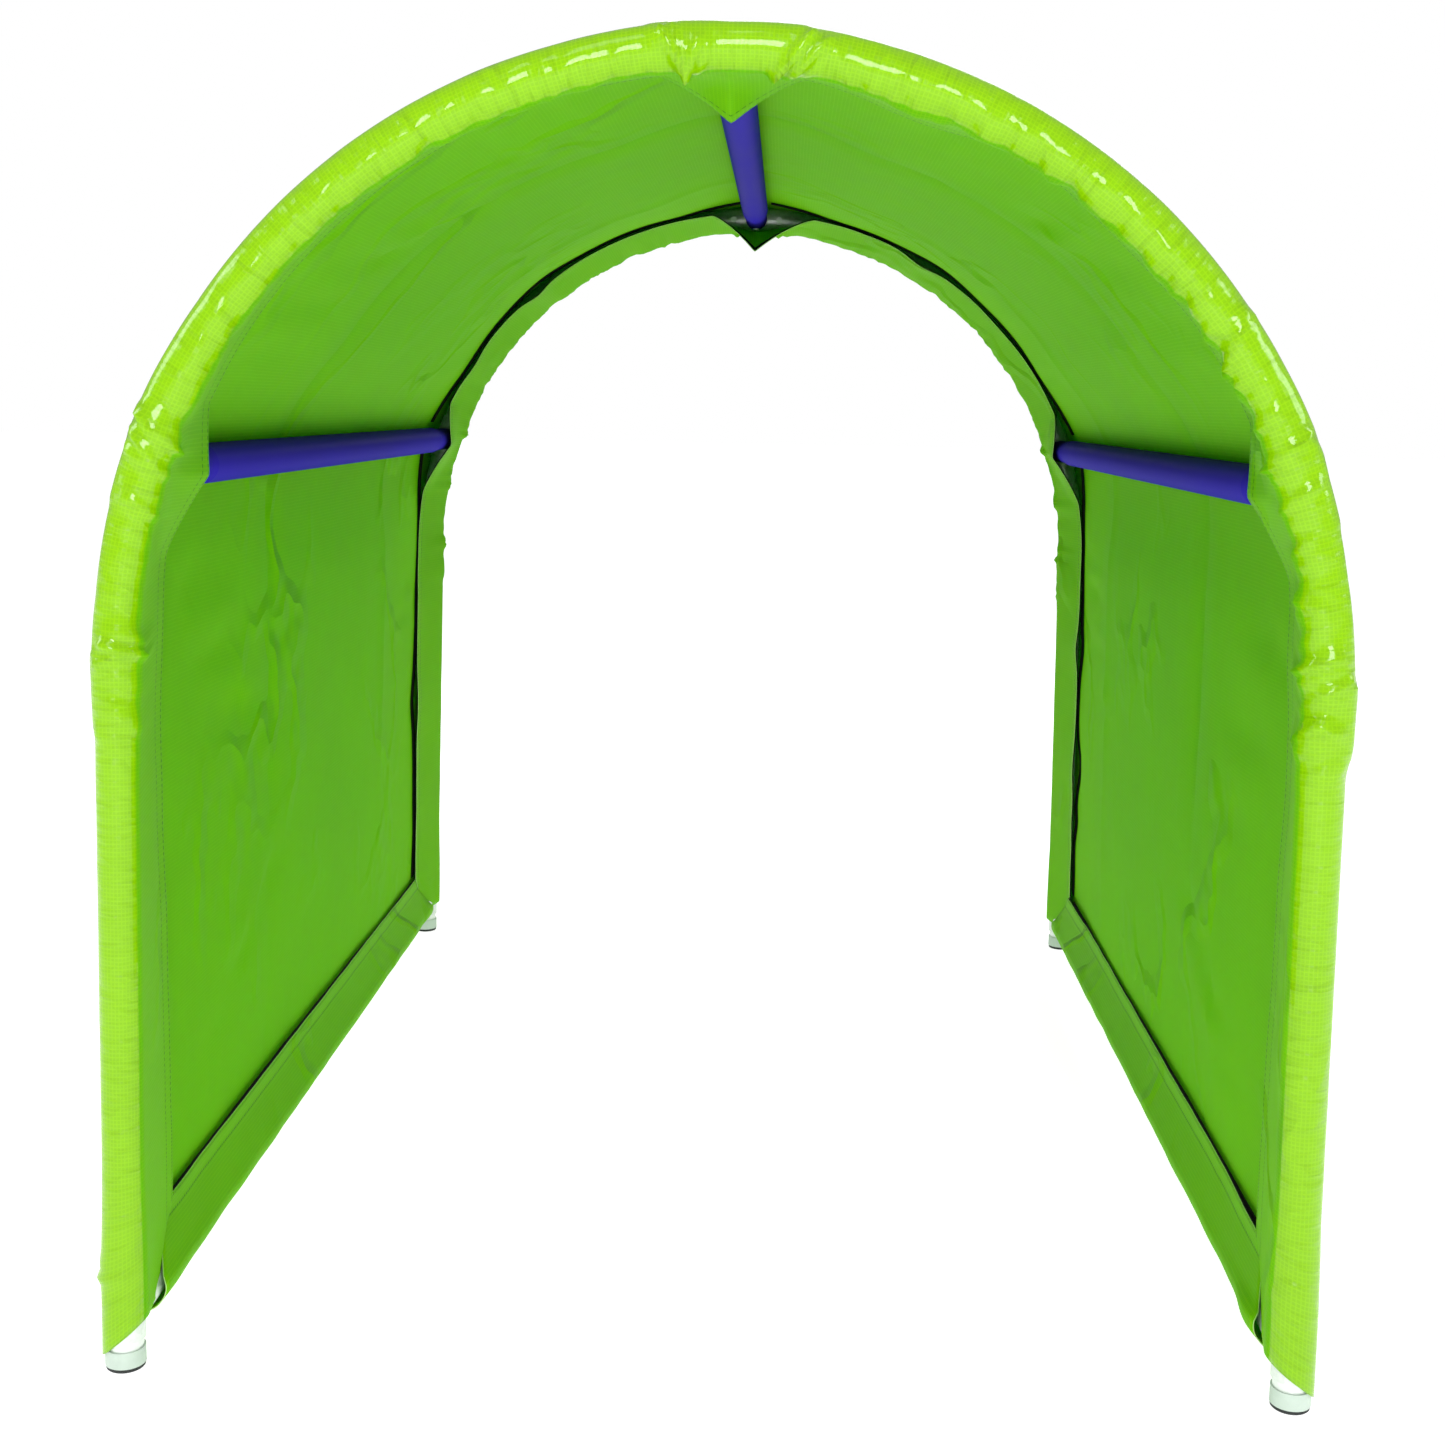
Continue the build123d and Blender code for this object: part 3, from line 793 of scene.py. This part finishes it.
def stitch_rows(finish, along, across, rows):
    """Masks of the stitch holes and threads on the given rows."""
    dash = (along * (2 * math.pi / STITCH_PITCH)).combine("COSINE")
    thread = ((dash + 0.2) / 0.3).clamped()
    line = None
    for row in rows:
        near = (1.6 - ((across - row).combine("ABSOLUTE") / 0.0008)).clamped()
        line = near if line is None else line.combine("MAXIMUM", near)
    return line * thread, line


def coated_sheet(name, colour, scrim_colour, gloss, scrim_strength, rows, seam_dark, shine):
    """Glossy coating over a square scrim, with stitched rows and creases near the sleeves."""
    finish = Finish(name)
    whole = max(rows) + min(rows)
    sheet = finish.flat_map()
    along, across, _ = finish.axes(sheet)
    drift = finish.noise(sheet, 55.0, 2.0) - 0.5
    warp = threads_a = finish.threads(along + drift * 0.0009, SCRIM_PITCH, 0.75)
    weft = finish.threads(across + drift * 0.0009, SCRIM_PITCH, 0.75)
    grid = threads_a.combine("MAXIMUM", weft)
    cloud = finish.noise(sheet, 5.5, 4.0, 0.55)
    fine = finish.noise(sheet, 140.0, 3.0, 0.6)
    patch = finish.noise(sheet, 26.0, 3.0, 0.5)
    body = finish.mix(cloud, rgba(colour, 0.90), rgba(colour, 1.10))
    body = finish.mix((patch - 0.35).clamped() * 0.4, body, rgba(colour, 1.16))
    body = finish.mix(grid * scrim_strength, body, rgba(scrim_colour))
    stitches, line = stitch_rows(finish, along, across, rows)
    body = finish.mix(line * 0.25, body, rgba(colour, 0.62))
    body = finish.mix(stitches * 0.9, body, rgba(seam_dark))
    rough = gloss + cloud * 0.10 + fine * 0.10 - grid * 0.05
    weave = warp * weft * 0.5 + grid * 0.5
    gather = finish.node("ShaderNodeMapping", {}, {"Vector": sheet, "Scale": (1.0, 0.28, 1.0)})
    crease = (finish.noise(gather, 48.0, 2.0, 0.45) - 0.5).combine("ABSOLUTE")
    crease = (1 - crease * 7.0).clamped() * min(1.0, shine * 3.0)
    from_edge = (whole / 2 - (across - whole / 2).combine("ABSOLUTE")) - SLEEVE_CLOTH
    on_sleeve = (1 - from_edge / 0.03).clamped()
    crease = crease * on_sleeve
    slack = finish.node("ShaderNodeMapping", {}, {"Vector": sheet, "Rotation": (0.0, 0.0, 0.6)})
    pull = (finish.noise(slack, 3.4, 3.0, 0.45) - 0.5).combine("ABSOLUTE")
    pull = (1 - pull * 26.0).clamped() * ((finish.noise(slack, 2.1, 1.0) - 0.48) * 6.0).clamped()
    normal = finish.bump(crease, 0.6, 0.0030)
    normal = finish.bump(pull, 0.8, 0.0090 if shine < 0.1 else 0.004, normal)
    normal = finish.bump(weave, 0.32, 0.00024, normal)
    normal = finish.bump(fine, 0.25, 0.0004, normal)
    normal = finish.bump(patch, 0.30, 0.0022, normal)
    normal = finish.bump(stitches - line * 0.7, 0.8, 0.0006, normal)
    finish.set(Base_Color=body, Roughness=rough, Normal=normal)
    coat = min(shine, 0.13)
    coat = coat + on_sleeve * (shine - coat)
    finish.set(Coat_Weight=coat, Coat_Roughness=0.07, Specular_IOR_Level=0.02 + 0.10 * shine)
    finish.set(Subsurface_Weight=0.5 - shine, Subsurface_Radius=(0.4, 1.0, 0.1), Subsurface_Scale=0.003)
    return finish.material


def cut_edge_finish(name, colour):
    """Pale cut edge where the scrim's core shows."""
    finish = Finish(name)
    spot = finish.place_map()
    fray = finish.noise(spot, 420.0, 3.0, 0.6)
    body = finish.mix(fray, rgba(colour, 1.25), (0.62, 0.86, 0.42, 1.0))
    normal = finish.bump(fray, 0.5, 0.0005)
    return finish.set(Base_Color=body, Roughness=0.55 + fray * 0.2, Normal=normal)


def tape_finish(name, scale):
    """Black hook-and-loop tape."""
    finish = Finish(name)
    spot = finish.place_map()
    pile = finish.noise(spot, scale, 4.0, 0.65)
    rib = finish.noise(spot, 260.0, 2.0)
    body = finish.mix(pile, (0.001, 0.0014, 0.001, 1.0), (0.007, 0.009, 0.007, 1.0))
    normal = finish.bump(pile * 0.7 + rib * 0.3, 0.8, 0.0012)
    finish.set(Base_Color=body, Roughness=0.86 + rib * 0.1, Normal=normal)
    return finish.set(Sheen_Weight=0.02, Specular_IOR_Level=0.08)


def galvanised_finish(name, colour, shade=1.0, spangle=True):
    """Zinc with faint spangle, dull patches and fine rolling lines."""
    finish = Finish(name)
    spot = finish.place_map()
    inputs = {"Vector": spot, "Scale": 95.0 if spangle else 320.0, "Randomness": 1.0}
    crystal = finish.node("ShaderNodeTexVoronoi", {"feature": "F1"}, inputs, "Color")
    grain = finish.axes(crystal)[0]
    dull = finish.noise(spot, 14.0, 5.0, 0.6)
    fine = finish.noise(spot, 900.0, 2.0)
    body = finish.mix(grain * 0.5, rgba(colour, 0.86 * shade), rgba(colour, 1.14 * shade))
    body = finish.mix((dull - 0.45).clamped() * 0.8, body, rgba(colour, 0.70 * shade))
    rough = 0.26 + grain * 0.14 + dull * 0.16
    normal = finish.bump(fine * 0.4 + grain * 0.6, 0.12, 0.0004)
    return finish.set(Base_Color=body, Metallic=0.6, Roughness=rough, Normal=normal)


def powder_coat(name, colour):
    """Satin powder coat with fine orange peel and worn spots."""
    finish = Finish(name)
    spot = finish.place_map()
    peel = finish.noise(spot, 520.0, 2.0, 0.5)
    cloud = finish.noise(spot, 9.0, 4.0, 0.5)
    scuff = finish.noise(spot, 60.0, 6.0, 0.7)
    body = finish.mix(cloud, rgba(colour, 0.92), rgba(colour, 1.12))
    worn = ((scuff - 0.66) * 9.0).clamped()
    body = finish.mix(worn * 0.25, body, rgba(colour, 1.8))
    normal = finish.bump(peel, 0.20, 0.0005)
    rough = 0.36 + cloud * 0.10 + worn * 0.15
    return finish.set(Base_Color=body, Roughness=rough, Normal=normal, Specular_IOR_Level=0.0015)


def moulded_finish(name, colour, rough_base, grain_scale):
    """Moulded plastic or rubber with grain and scuffs."""
    finish = Finish(name)
    spot = finish.place_map()
    grain = finish.noise(spot, grain_scale, 3.0, 0.6)
    dust = finish.noise(spot, 38.0, 5.0, 0.65)
    body = finish.mix(dust, rgba(colour, 0.84), rgba(colour, 1.18))
    normal = finish.bump(grain, 0.35, 0.0004)
    return finish.set(Base_Color=body, Roughness=rough_base + dust * 0.16, Normal=normal)


def finish_named(name):
    """A finish made earlier by its operator."""
    found = bpy.data.materials.get(name)
    if found is None:
        raise RuntimeError(f"the finish {name} isn't made yet: run the finishes first")
    return found


# Operators


class TUNNEL_OT_finishes(bpy.types.Operator):
    """Make every finish and put the metal, paint and rubber ones on the frame's own parts"""

    bl_idname = "tunnel.finishes"
    bl_label = "Finishes"

    def execute(self, context):
        colours = context.scene.tunnel_colours
        sizes = context.scene.tunnel_cover
        whole = cover_lengths(sizes)[-1]
        tape = sizes.tape_width
        rows = (0.003, tape - 0.001, whole - 0.003, whole - tape + 0.001)
        stitch = (0.03, 0.14, 0.008)
        lime = colours.lime
        under = colours.lime_under
        coated_sheet("coated_lime", lime, colours.scrim, 0.13, 0.34, rows, stitch, 0.46)
        # Painted shade: where the coated side turns round the tube into the tunnel, it takes the darker
        # underside colour and a duller gloss.
        coated_sheet("turned_band_painted_shade", under, colours.scrim, 0.55, 0.20, rows, stitch, 0.02)
        coated_sheet("lime_underside", under, colours.scrim, 0.60, 0.16, rows, stitch, 0.0)
        hem_rows = (0.003, tape - 0.001)
        # Painted shade: the bottom flap's coated side, round the rail's inner side and up into the tunnel,
        # takes the darker underside colour and a duller gloss.
        coated_sheet("coated_hem_painted_shade", under, colours.scrim, 0.50, 0.22, hem_rows, stitch, 0.01)
        coated_sheet("hem_underside", under, colours.scrim, 0.60, 0.14, hem_rows, stitch, 0.0)
        cut_edge_finish("pale_cut_edge", lime)
        tape_finish("loop_tape", 1500.0)
        tape_finish("hook_tape", 900.0)
        zinc = galvanised_finish("galvanised_tube", colours.zinc)
        plated = galvanised_finish("plated_fitting", colours.zinc, 0.92, False)
        screw = galvanised_finish("bright_screw", colours.zinc, 1.2, False)
        spring = galvanised_finish("spring_strip", colours.zinc, 0.85, False)
        paint = powder_coat("purple_powder_coat", colours.purple)
        ferrule = moulded_finish("grey_ferrule", colours.ferrule, 0.42, 700.0)
        rubber = moulded_finish("black_rubber", colours.rubber, 0.62, 500.0)
        by_start = {
            "arc_": zinc,
            "leg_": zinc,
            "bottom_rail_": zinc,
            "coupler_": plated,
            "ridge_tee_": plated,
            "side_collar_": plated,
            "rail_collar_": plated,
            "crossbar_": paint,
            "foot_ferrule_": ferrule,
            "foot_pad_": rubber,
            "frame_screws": screw,
            "snap_button_": spring,
            "snap_clip_backs": spring,
        }
        for name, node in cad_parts.items():
            for start, material in by_start.items():
                if name.startswith(start):
                    node.data.materials.clear()
                    node.data.materials.append(material)
        return {"FINISHED"}


class TUNNEL_OT_cover(bpy.types.Operator):
    """Build the sheet: the panel, both arch sleeves with their flaps, and the outer half of the hems"""

    bl_idname = "tunnel.cover"
    bl_label = "Cover sheet"

    def execute(self, context):
        sizes = context.scene.tunnel_cover
        runs = run_stations()
        stations = cover_stations(sizes)
        lengths = cover_lengths(sizes)
        shape = bmesh.new()
        table = sheet_grid(shape, runs, stations)
        for (column, row), vertex in table.items():
            vertex.co = cover_point(runs[column], stations[row], sizes)
        write_sheet_map(shape, table, runs, lengths)
        hemmed = [
            row
            for row, station in enumerate(stations)
            if station[0] == "panel"
            and sizes.hem_setback - 1e-6 <= station[2] <= tunnel - sizes.hem_setback + 1e-6
        ]
        turns = [math.radians(-9 * step) for step in range(11)]
        for side in (-1, 1):
            hem = sheet_grid(shape, turns, hemmed)
            for (column, row), vertex in hem.items():
                station = stations[hemmed[row]]
                vertex.co = hem_point(side, turns[column], station[2], sizes)
            along = [side * (rail_run + sizes.fitting_radius * -turn) for turn in turns]
            write_sheet_map(shape, hem, along, [lengths[row] for row in hemmed])
        # Rows where the coated side turns into the tunnel; their faces take the darker copy of it, as painted
        # shade.
        turned = [
            row
            for row, (kind, _, value) in enumerate(stations)
            if kind == "flap" or (kind == "wrap" and value > math.radians(158))
        ]
        turned_verts = {vertex for (_, row), vertex in table.items() if row in turned}
        for face in shape.faces:
            if all(vertex in turned_verts for vertex in face.verts):
                face.material_index = 3
        bmesh.ops.remove_doubles(shape, verts=shape.verts, dist=2e-5)
        bmesh.ops.recalc_face_normals(shape, faces=shape.faces)
        face_out(shape, INSIDE)
        backing = ("lime_underside", "pale_cut_edge")
        names = ("coated_lime", *backing, "turned_band_painted_shade", *backing)
        cover = piece_from(shape, "cover_sheet", names)
        thicken(cover, sizes.thickness, back=1, rim=2)
        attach(cover, ROOT)
        nodes = ["cover_panel", "bottom_hem_left", "bottom_hem_right"]
        for end in ENDS:
            nodes += [f"arch_sleeve_{end}", f"arch_flap_{end}"]
        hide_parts(*nodes)
        cover["flat_size"] = [2 * (rail_run + math.pi / 2 * sizes.fitting_radius), lengths[-1]]
        return {"FINISHED"}


def hem_unevenness(side, turn, depth):
    """How far the hem stands off its rail: small waves, and a loose corner at the front right."""
    low = smooth(-0.5, -1.2, turn) if turn < 0 else 0.0
    corner = 0.0055 * bell(depth - 0.085, 0.035) if side > 0 else 0.0015 * bell(depth - 0.10, 0.04)
    return low * (corner + 0.0012 * (1 + wander(depth, turn * 0.02, 0.07, 2.2 + side)))


def hem_point(side, turn, depth, sizes):
    """Place on the sheet round a bottom rail: turn 0 is its outer side, and down is negative."""
    radius = sizes.fitting_radius
    if turn == 0:
        rise = panel_rise(side * rail_run, depth, sizes)
        return place(side * rail_run, rise, depth)
    base = panel_rise(side * rail_run, depth, sizes)
    share = smooth(0.0, -1.2, turn) if turn < 0 else 0.0
    radius = base + (radius - base) * share
    radius += hem_unevenness(side, turn, depth)
    up = radius * math.sin(turn)
    return place(side * (rail_run - up), radius * math.cos(turn), depth)


def bottom_flap_point(side, station, depth, sizes):
    """Place on a bottom flap: round the rail's inner side, then up to the free edge."""
    kind, value = station
    if kind == "wrap":
        if value < math.radians(-91):
            radius = sizes.fitting_radius + hem_unevenness(side, value, depth)
            run = side * (rail_run - radius * math.sin(value))
            return place(run, radius * math.cos(value), depth)
        return hem_point(side, value, depth, sizes)
    radius = sizes.fitting_radius
    turn = math.radians(-192)
    start_up = radius * math.sin(turn)
    start_rise = radius * math.cos(turn)
    near_end = min(depth, tunnel - depth)
    gap = 0.0012 if side < 0 else 0.0042
    loose = gap * (1 - smooth(0.10, 0.34, near_end))
    loose += 0.0008 * (1 + wander(depth, 0.0, 0.16, 9.1 + side))
    edge = sizes.panel_line - 2 * sizes.tape_thickness - sizes.thickness - 0.0006 - loose
    flat = sizes.bottom_flap_depth - start_up
    seam = (flat - sizes.tape_width) / flat
    up = start_up + flat * value
    rise = start_rise + (edge - start_rise) * min(1.0, value / seam)
    rise += 0.0007 * smooth(0.1, 0.5, value) * wander(depth, up, 0.05, 4.4 + side)
    return place(side * (rail_run - up), rise, depth)


class TUNNEL_OT_bottom_flaps(bpy.types.Operator):
    """Build the two bottom flaps that peel away from the panel"""

    bl_idname = "tunnel.bottom_flaps"
    bl_label = "Bottom flaps"

    def execute(self, context):
        sizes = context.scene.tunnel_cover
        wraps = [("wrap", math.radians(-90 - 8.5 * step)) for step in range(13)]
        flats = [("flap", value) for value in (0.1, 0.25, 0.4, 0.55, 0.68, 0.8, 0.9, 0.96, 1.0)]
        stations = wraps + flats
        depths = [d for kind, _, d in cover_stations(sizes) if kind == "panel"]
        depths = [d for d in depths if sizes.hem_setback - 1e-6 <= d]
        depths = [d for d in depths if d <= tunnel - sizes.hem_setback + 1e-6]
        extra = graded(sizes.hem_setback, tunnel - sizes.hem_setback, [], 0.012)
        depths = sorted(set(depths + extra[1:-1]))
        mitre = sizes.flap_depth - sizes.bottom_flap_depth
        for name, side in SIDES.items():
            shape = bmesh.new()
            table = sheet_grid(shape, stations, depths)
            middle = [bottom_flap_point(side, each, tunnel / 2, sizes) for each in stations]
            lengths = sheet_lengths(middle)
            for (column, row), vertex in table.items():
                station = stations[column]
                up = 0.0 if station[0] == "wrap" else sizes.bottom_flap_depth * station[1]
                low = sizes.hem_setback
                if station[0] == "flap" or column > 6:
                    low = max(low, mitre + up + 0.001)
                share = (depths[row] - sizes.hem_setback) / (tunnel - 2 * sizes.hem_setback)
                depth = low + (tunnel - 2 * low) * share
                vertex.co = bottom_flap_point(side, station, depth, sizes)
            across = [lengths[-1] - value for value in lengths]
            turned = {(row, column): vertex for (column, row), vertex in table.items()}
            write_sheet_map(shape, turned, depths, across)
            bmesh.ops.recalc_face_normals(shape, faces=shape.faces)
            face_out(shape, centre_of(f"bottom_rail_{name}"))
            # The coated side takes the darker copy of its finish, as painted shade.
            names = ("coated_hem_painted_shade", "hem_underside", "pale_cut_edge")
            piece = piece_from(shape, f"bottom_flap_{name}_sheet", names)
            thicken(piece, sizes.thickness, back=1, rim=2)
            hinge = bottom_flap_point(side, ("flap", 0.02), tunnel / 2, sizes)
            further = bottom_flap_point(side, ("flap", 0.26), tunnel / 2, sizes)
            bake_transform(piece)
            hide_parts(f"bottom_flap_{name}")
            piece["flat_size"] = [lengths[-1], tunnel - 2 * sizes.hem_setback]
        return {"FINISHED"}


class TUNNEL_OT_tapes(bpy.types.Operator):
    """Build the hook-and-loop tapes between the flaps and the panel"""

    bl_idname = "tunnel.tapes"
    bl_label = "Hook-and-loop tapes"

    def execute(self, context):
        sizes = context.scene.tunnel_cover
        off_sheet = (sizes.thickness + sizes.tape_thickness) / 2 + 0.0001
        low_run = rail_run - sizes.bottom_flap_depth - 0.003
        runs = [run for run in run_stations() if abs(run) < low_run]
        runs = [-low_run] + runs + [low_run]
        shares = tape_shares(sizes, sizes.flap_depth)
        stops = [-low_run]
        for bar in BARS:
            stops += [bar - bar_radius - 0.004, bar + bar_radius + 0.004]
        stops.append(low_run)
        for name, end in ENDS.items():
            shape = bmesh.new()
            table = sheet_grid(shape, runs, shares)
            for (column, row), vertex in table.items():
                rise, depth = flap_rise(runs[column], min(0.999, shares[row]), end, sizes)
                vertex.co = place(runs[column], rise + off_sheet, depth - 0.0006, end)
            tape_from(shape, sizes, f"arch_hook_tape_{name}", ROOT)
            shape = bmesh.new()
            for first, last in zip(stops[::2], stops[1::2]):
                part = [first] + [run for run in runs if first < run < last] + [last]
                table = sheet_grid(shape, part, shares)
                for (column, row), vertex in table.items():
                    depth = sizes.flap_depth * shares[row]
                    across = depth if end < 0 else tunnel - depth
                    rise = panel_rise(part[column], across, sizes)
                    vertex.co = place(part[column], rise - off_sheet, depth, end)
            tape_from(shape, sizes, f"arch_loop_tape_{name}", ROOT)
        inset = sizes.flap_depth + 0.003
        depths = graded(inset, tunnel - inset, [], 0.012)
        shares = tape_shares(sizes, sizes.bottom_flap_depth)
        for name, side in SIDES.items():
            outward = arch_point(side * rail_run)[1]
            shape = bmesh.new()
            table = sheet_grid(shape, shares, depths)
            for (column, row), vertex in table.items():
                station = ("flap", min(0.995, shares[column]))
                point = bottom_flap_point(side, station, depths[row], sizes)
                vertex.co = point + outward * off_sheet
            tape_from(shape, sizes, f"bottom_hook_tape_{name}", f"bottom_flap_{name}")
            shape = bmesh.new()
            table = sheet_grid(shape, shares, depths)
            for (column, row), vertex in table.items():
                run = side * (rail_run - sizes.bottom_flap_depth * (shares[column] - 0.08))
                rise = panel_rise(run, depths[row], sizes)
                vertex.co = place(run, rise - off_sheet, depths[row])
            tape_from(shape, sizes, f"bottom_loop_tape_{name}", ROOT)
        return {"FINISHED"}


def tape_shares(sizes, depth):
    """Stations across a tape at the free edge of a flap of some depth."""
    inner = 1 - sizes.tape_width / depth
    return [inner + (1 - inner) * step / 4 for step in range(5)]


def tape_from(shape, sizes, name, body):
    """Turn a finished bmesh into a tape that rides on a body and stands for its strip."""
    bmesh.ops.recalc_face_normals(shape, faces=shape.faces)
    face_out(shape, INSIDE)
    finish = "hook_tape" if "hook" in name else "loop_tape"
    piece = piece_from(shape, name, [finish])
    thicken(piece, sizes.tape_thickness)
    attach(piece, body)
    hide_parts(name.replace("_tape_", "_strip_"))


CAMERA_PLACE = (0.055, -2.3725, 0.8955)
CAMERA_LENS = 47.3
CAMERA_TURN = (0.167, 0.030, 0.020)  # tilt down, pan and roll
LIGHTS = (  # name, place, target, size, power
    ("front_light", (0.15, -5.0, 2.3), (0, 0, 0.8), 1.6, 144.0),
    ("top_light", (-0.6, -2.2, 3.6), (0, 0, 0.6), 1.0, 12.0),
    ("left_light", (-4.2, -0.6, 2.6), (-0.4, 0, 0.7), 1.6, 60.0),
    ("right_light", (4.2, -0.6, 2.6), (0.4, 0, 0.7), 1.6, 60.0),
    ("back_light", (0.6, 4.6, 2.6), (0, 0, 0.6), 2.4, 45.0),
)


class TUNNEL_OT_stage(bpy.types.Operator):
    """Set up the floor, lights and camera"""

    bl_idname = "tunnel.stage"
    bl_label = "Stage"

    def execute(self, context):
        scene = context.scene
        finish = Finish("pale_floor")
        spot = finish.place_map()
        grain = finish.noise(spot, 3.0, 3.0)
        body = finish.mix(grain, (0.86, 0.86, 0.86, 1.0), (0.90, 0.90, 0.90, 1.0))
        finish.set(Base_Color=body, Roughness=0.8 + grain * 0.1, Specular_IOR_Level=0.1)
        finish.set(Emission_Color=(1.0, 1.0, 1.0, 1.0), Emission_Strength=0.72)
        shape = bmesh.new()
        bmesh.ops.create_circle(shape, cap_ends=True, segments=96, radius=40.0)
        mesh = bpy.data.meshes.new("floor")
        shape.to_mesh(mesh)
        shape.free()
        floor = bpy.data.objects.new("floor", mesh)
        mesh.materials.append(finish.material)
        scene.collection.objects.link(floor)
        floor.location.z = -0.0005
        scene.world = self.studio()
        for name, *settings in LIGHTS:
            self.light(scene, name, *settings)
        data = bpy.data.cameras.new("camera")
        data.lens = CAMERA_LENS
        data.sensor_width = 36.0
        camera = bpy.data.objects.new("camera", data)
        turn = camera_turn(*CAMERA_TURN)
        camera.matrix_world = Matrix.Translation(CAMERA_PLACE) @ turn.to_4x4()
        scene.collection.objects.link(camera)
        scene.camera = camera
        scene.view_settings.view_transform = "Standard"
        return {"FINISHED"}

    @staticmethod
    def studio():
        """Soft even light, with a plain white backdrop behind the object."""
        world = bpy.data.worlds.new("studio")
        world.use_nodes = True
        nodes = world.node_tree.nodes
        links = world.node_tree.links
        soft = nodes["Background"]
        soft.inputs["Color"].default_value = (1.0, 1.0, 1.0, 1.0)
        soft.inputs["Strength"].default_value = 0.42
        backdrop = nodes.new("ShaderNodeBackground")
        backdrop.inputs["Color"].default_value = (1.0, 1.0, 1.0, 1.0)
        choice = nodes.new("ShaderNodeMixShader")
        path = nodes.new("ShaderNodeLightPath")
        links.new(path.outputs["Is Camera Ray"], choice.inputs["Fac"])
        links.new(soft.outputs["Background"], choice.inputs[1])
        links.new(backdrop.outputs["Background"], choice.inputs[2])
        links.new(choice.outputs["Shader"], nodes["World Output"].inputs["Surface"])
        return world

    @staticmethod
    def light(scene, name, where, target, size, power):
        """A square softbox that faces a place on the object."""
        data = bpy.data.lights.new(name, "AREA")
        data.shape = "SQUARE"
        data.size = size
        data.energy = power
        light = bpy.data.objects.new(name, data)
        light.location = where
        aim = Vector(target) - Vector(where)
        light.rotation_mode = "QUATERNION"
        light.rotation_quaternion = aim.to_track_quat("-Z", "Y")
        scene.collection.objects.link(light)


def camera_turn(tilt, yaw, roll):
    """Camera turn that looks along the tunnel, tilted down, panned and rolled."""
    level = Matrix.Rotation(math.pi / 2, 3, "X")
    for angle, axis in ((yaw, "Y"), (-tilt, "X"), (roll, "Z")):
        level = level @ Matrix.Rotation(angle, 3, axis)
    return level


class TUNNEL_PT_panel(bpy.types.Panel):
    """Lists the sizes, colours and steps"""

    bl_label = "Tunnel Tent"
    bl_space_type = "VIEW_3D"
    bl_region_type = "UI"
    bl_category = "Tunnel Tent"

    def draw(self, context):
        for group in (context.scene.tunnel_cover, context.scene.tunnel_colours):
            box = self.layout.box()
            for name in group.bl_rna.properties.keys():
                if name not in ("rna_type", "name"):
                    box.prop(group, name)
        for step in STEPS:
            self.layout.operator(step.bl_idname)


STEPS = (
    TUNNEL_OT_stage,
    TUNNEL_OT_finishes,
    TUNNEL_OT_cover,
    TUNNEL_OT_bottom_flaps,
    TUNNEL_OT_tapes,
)
CLASSES = (CoverSizes, FinishColours, *STEPS, TUNNEL_PT_panel)


def register():
    """Register the classes and the scene's settings."""
    for each in CLASSES:
        bpy.utils.register_class(each)
    bpy.types.Scene.tunnel_cover = bpy.props.PointerProperty(type=CoverSizes)
    bpy.types.Scene.tunnel_colours = bpy.props.PointerProperty(type=FinishColours)


def unregister():
    """Remove the settings and the classes."""
    del bpy.types.Scene.tunnel_colours
    del bpy.types.Scene.tunnel_cover
    for each in reversed(CLASSES):
        bpy.utils.unregister_class(each)


def main():
    register()
    bpy.ops.tunnel.stage()
    bpy.ops.tunnel.finishes()
    bpy.ops.tunnel.cover()
    bpy.ops.tunnel.bottom_flaps()
    bpy.ops.tunnel.tapes()


if __name__ == "__main__":
    main()
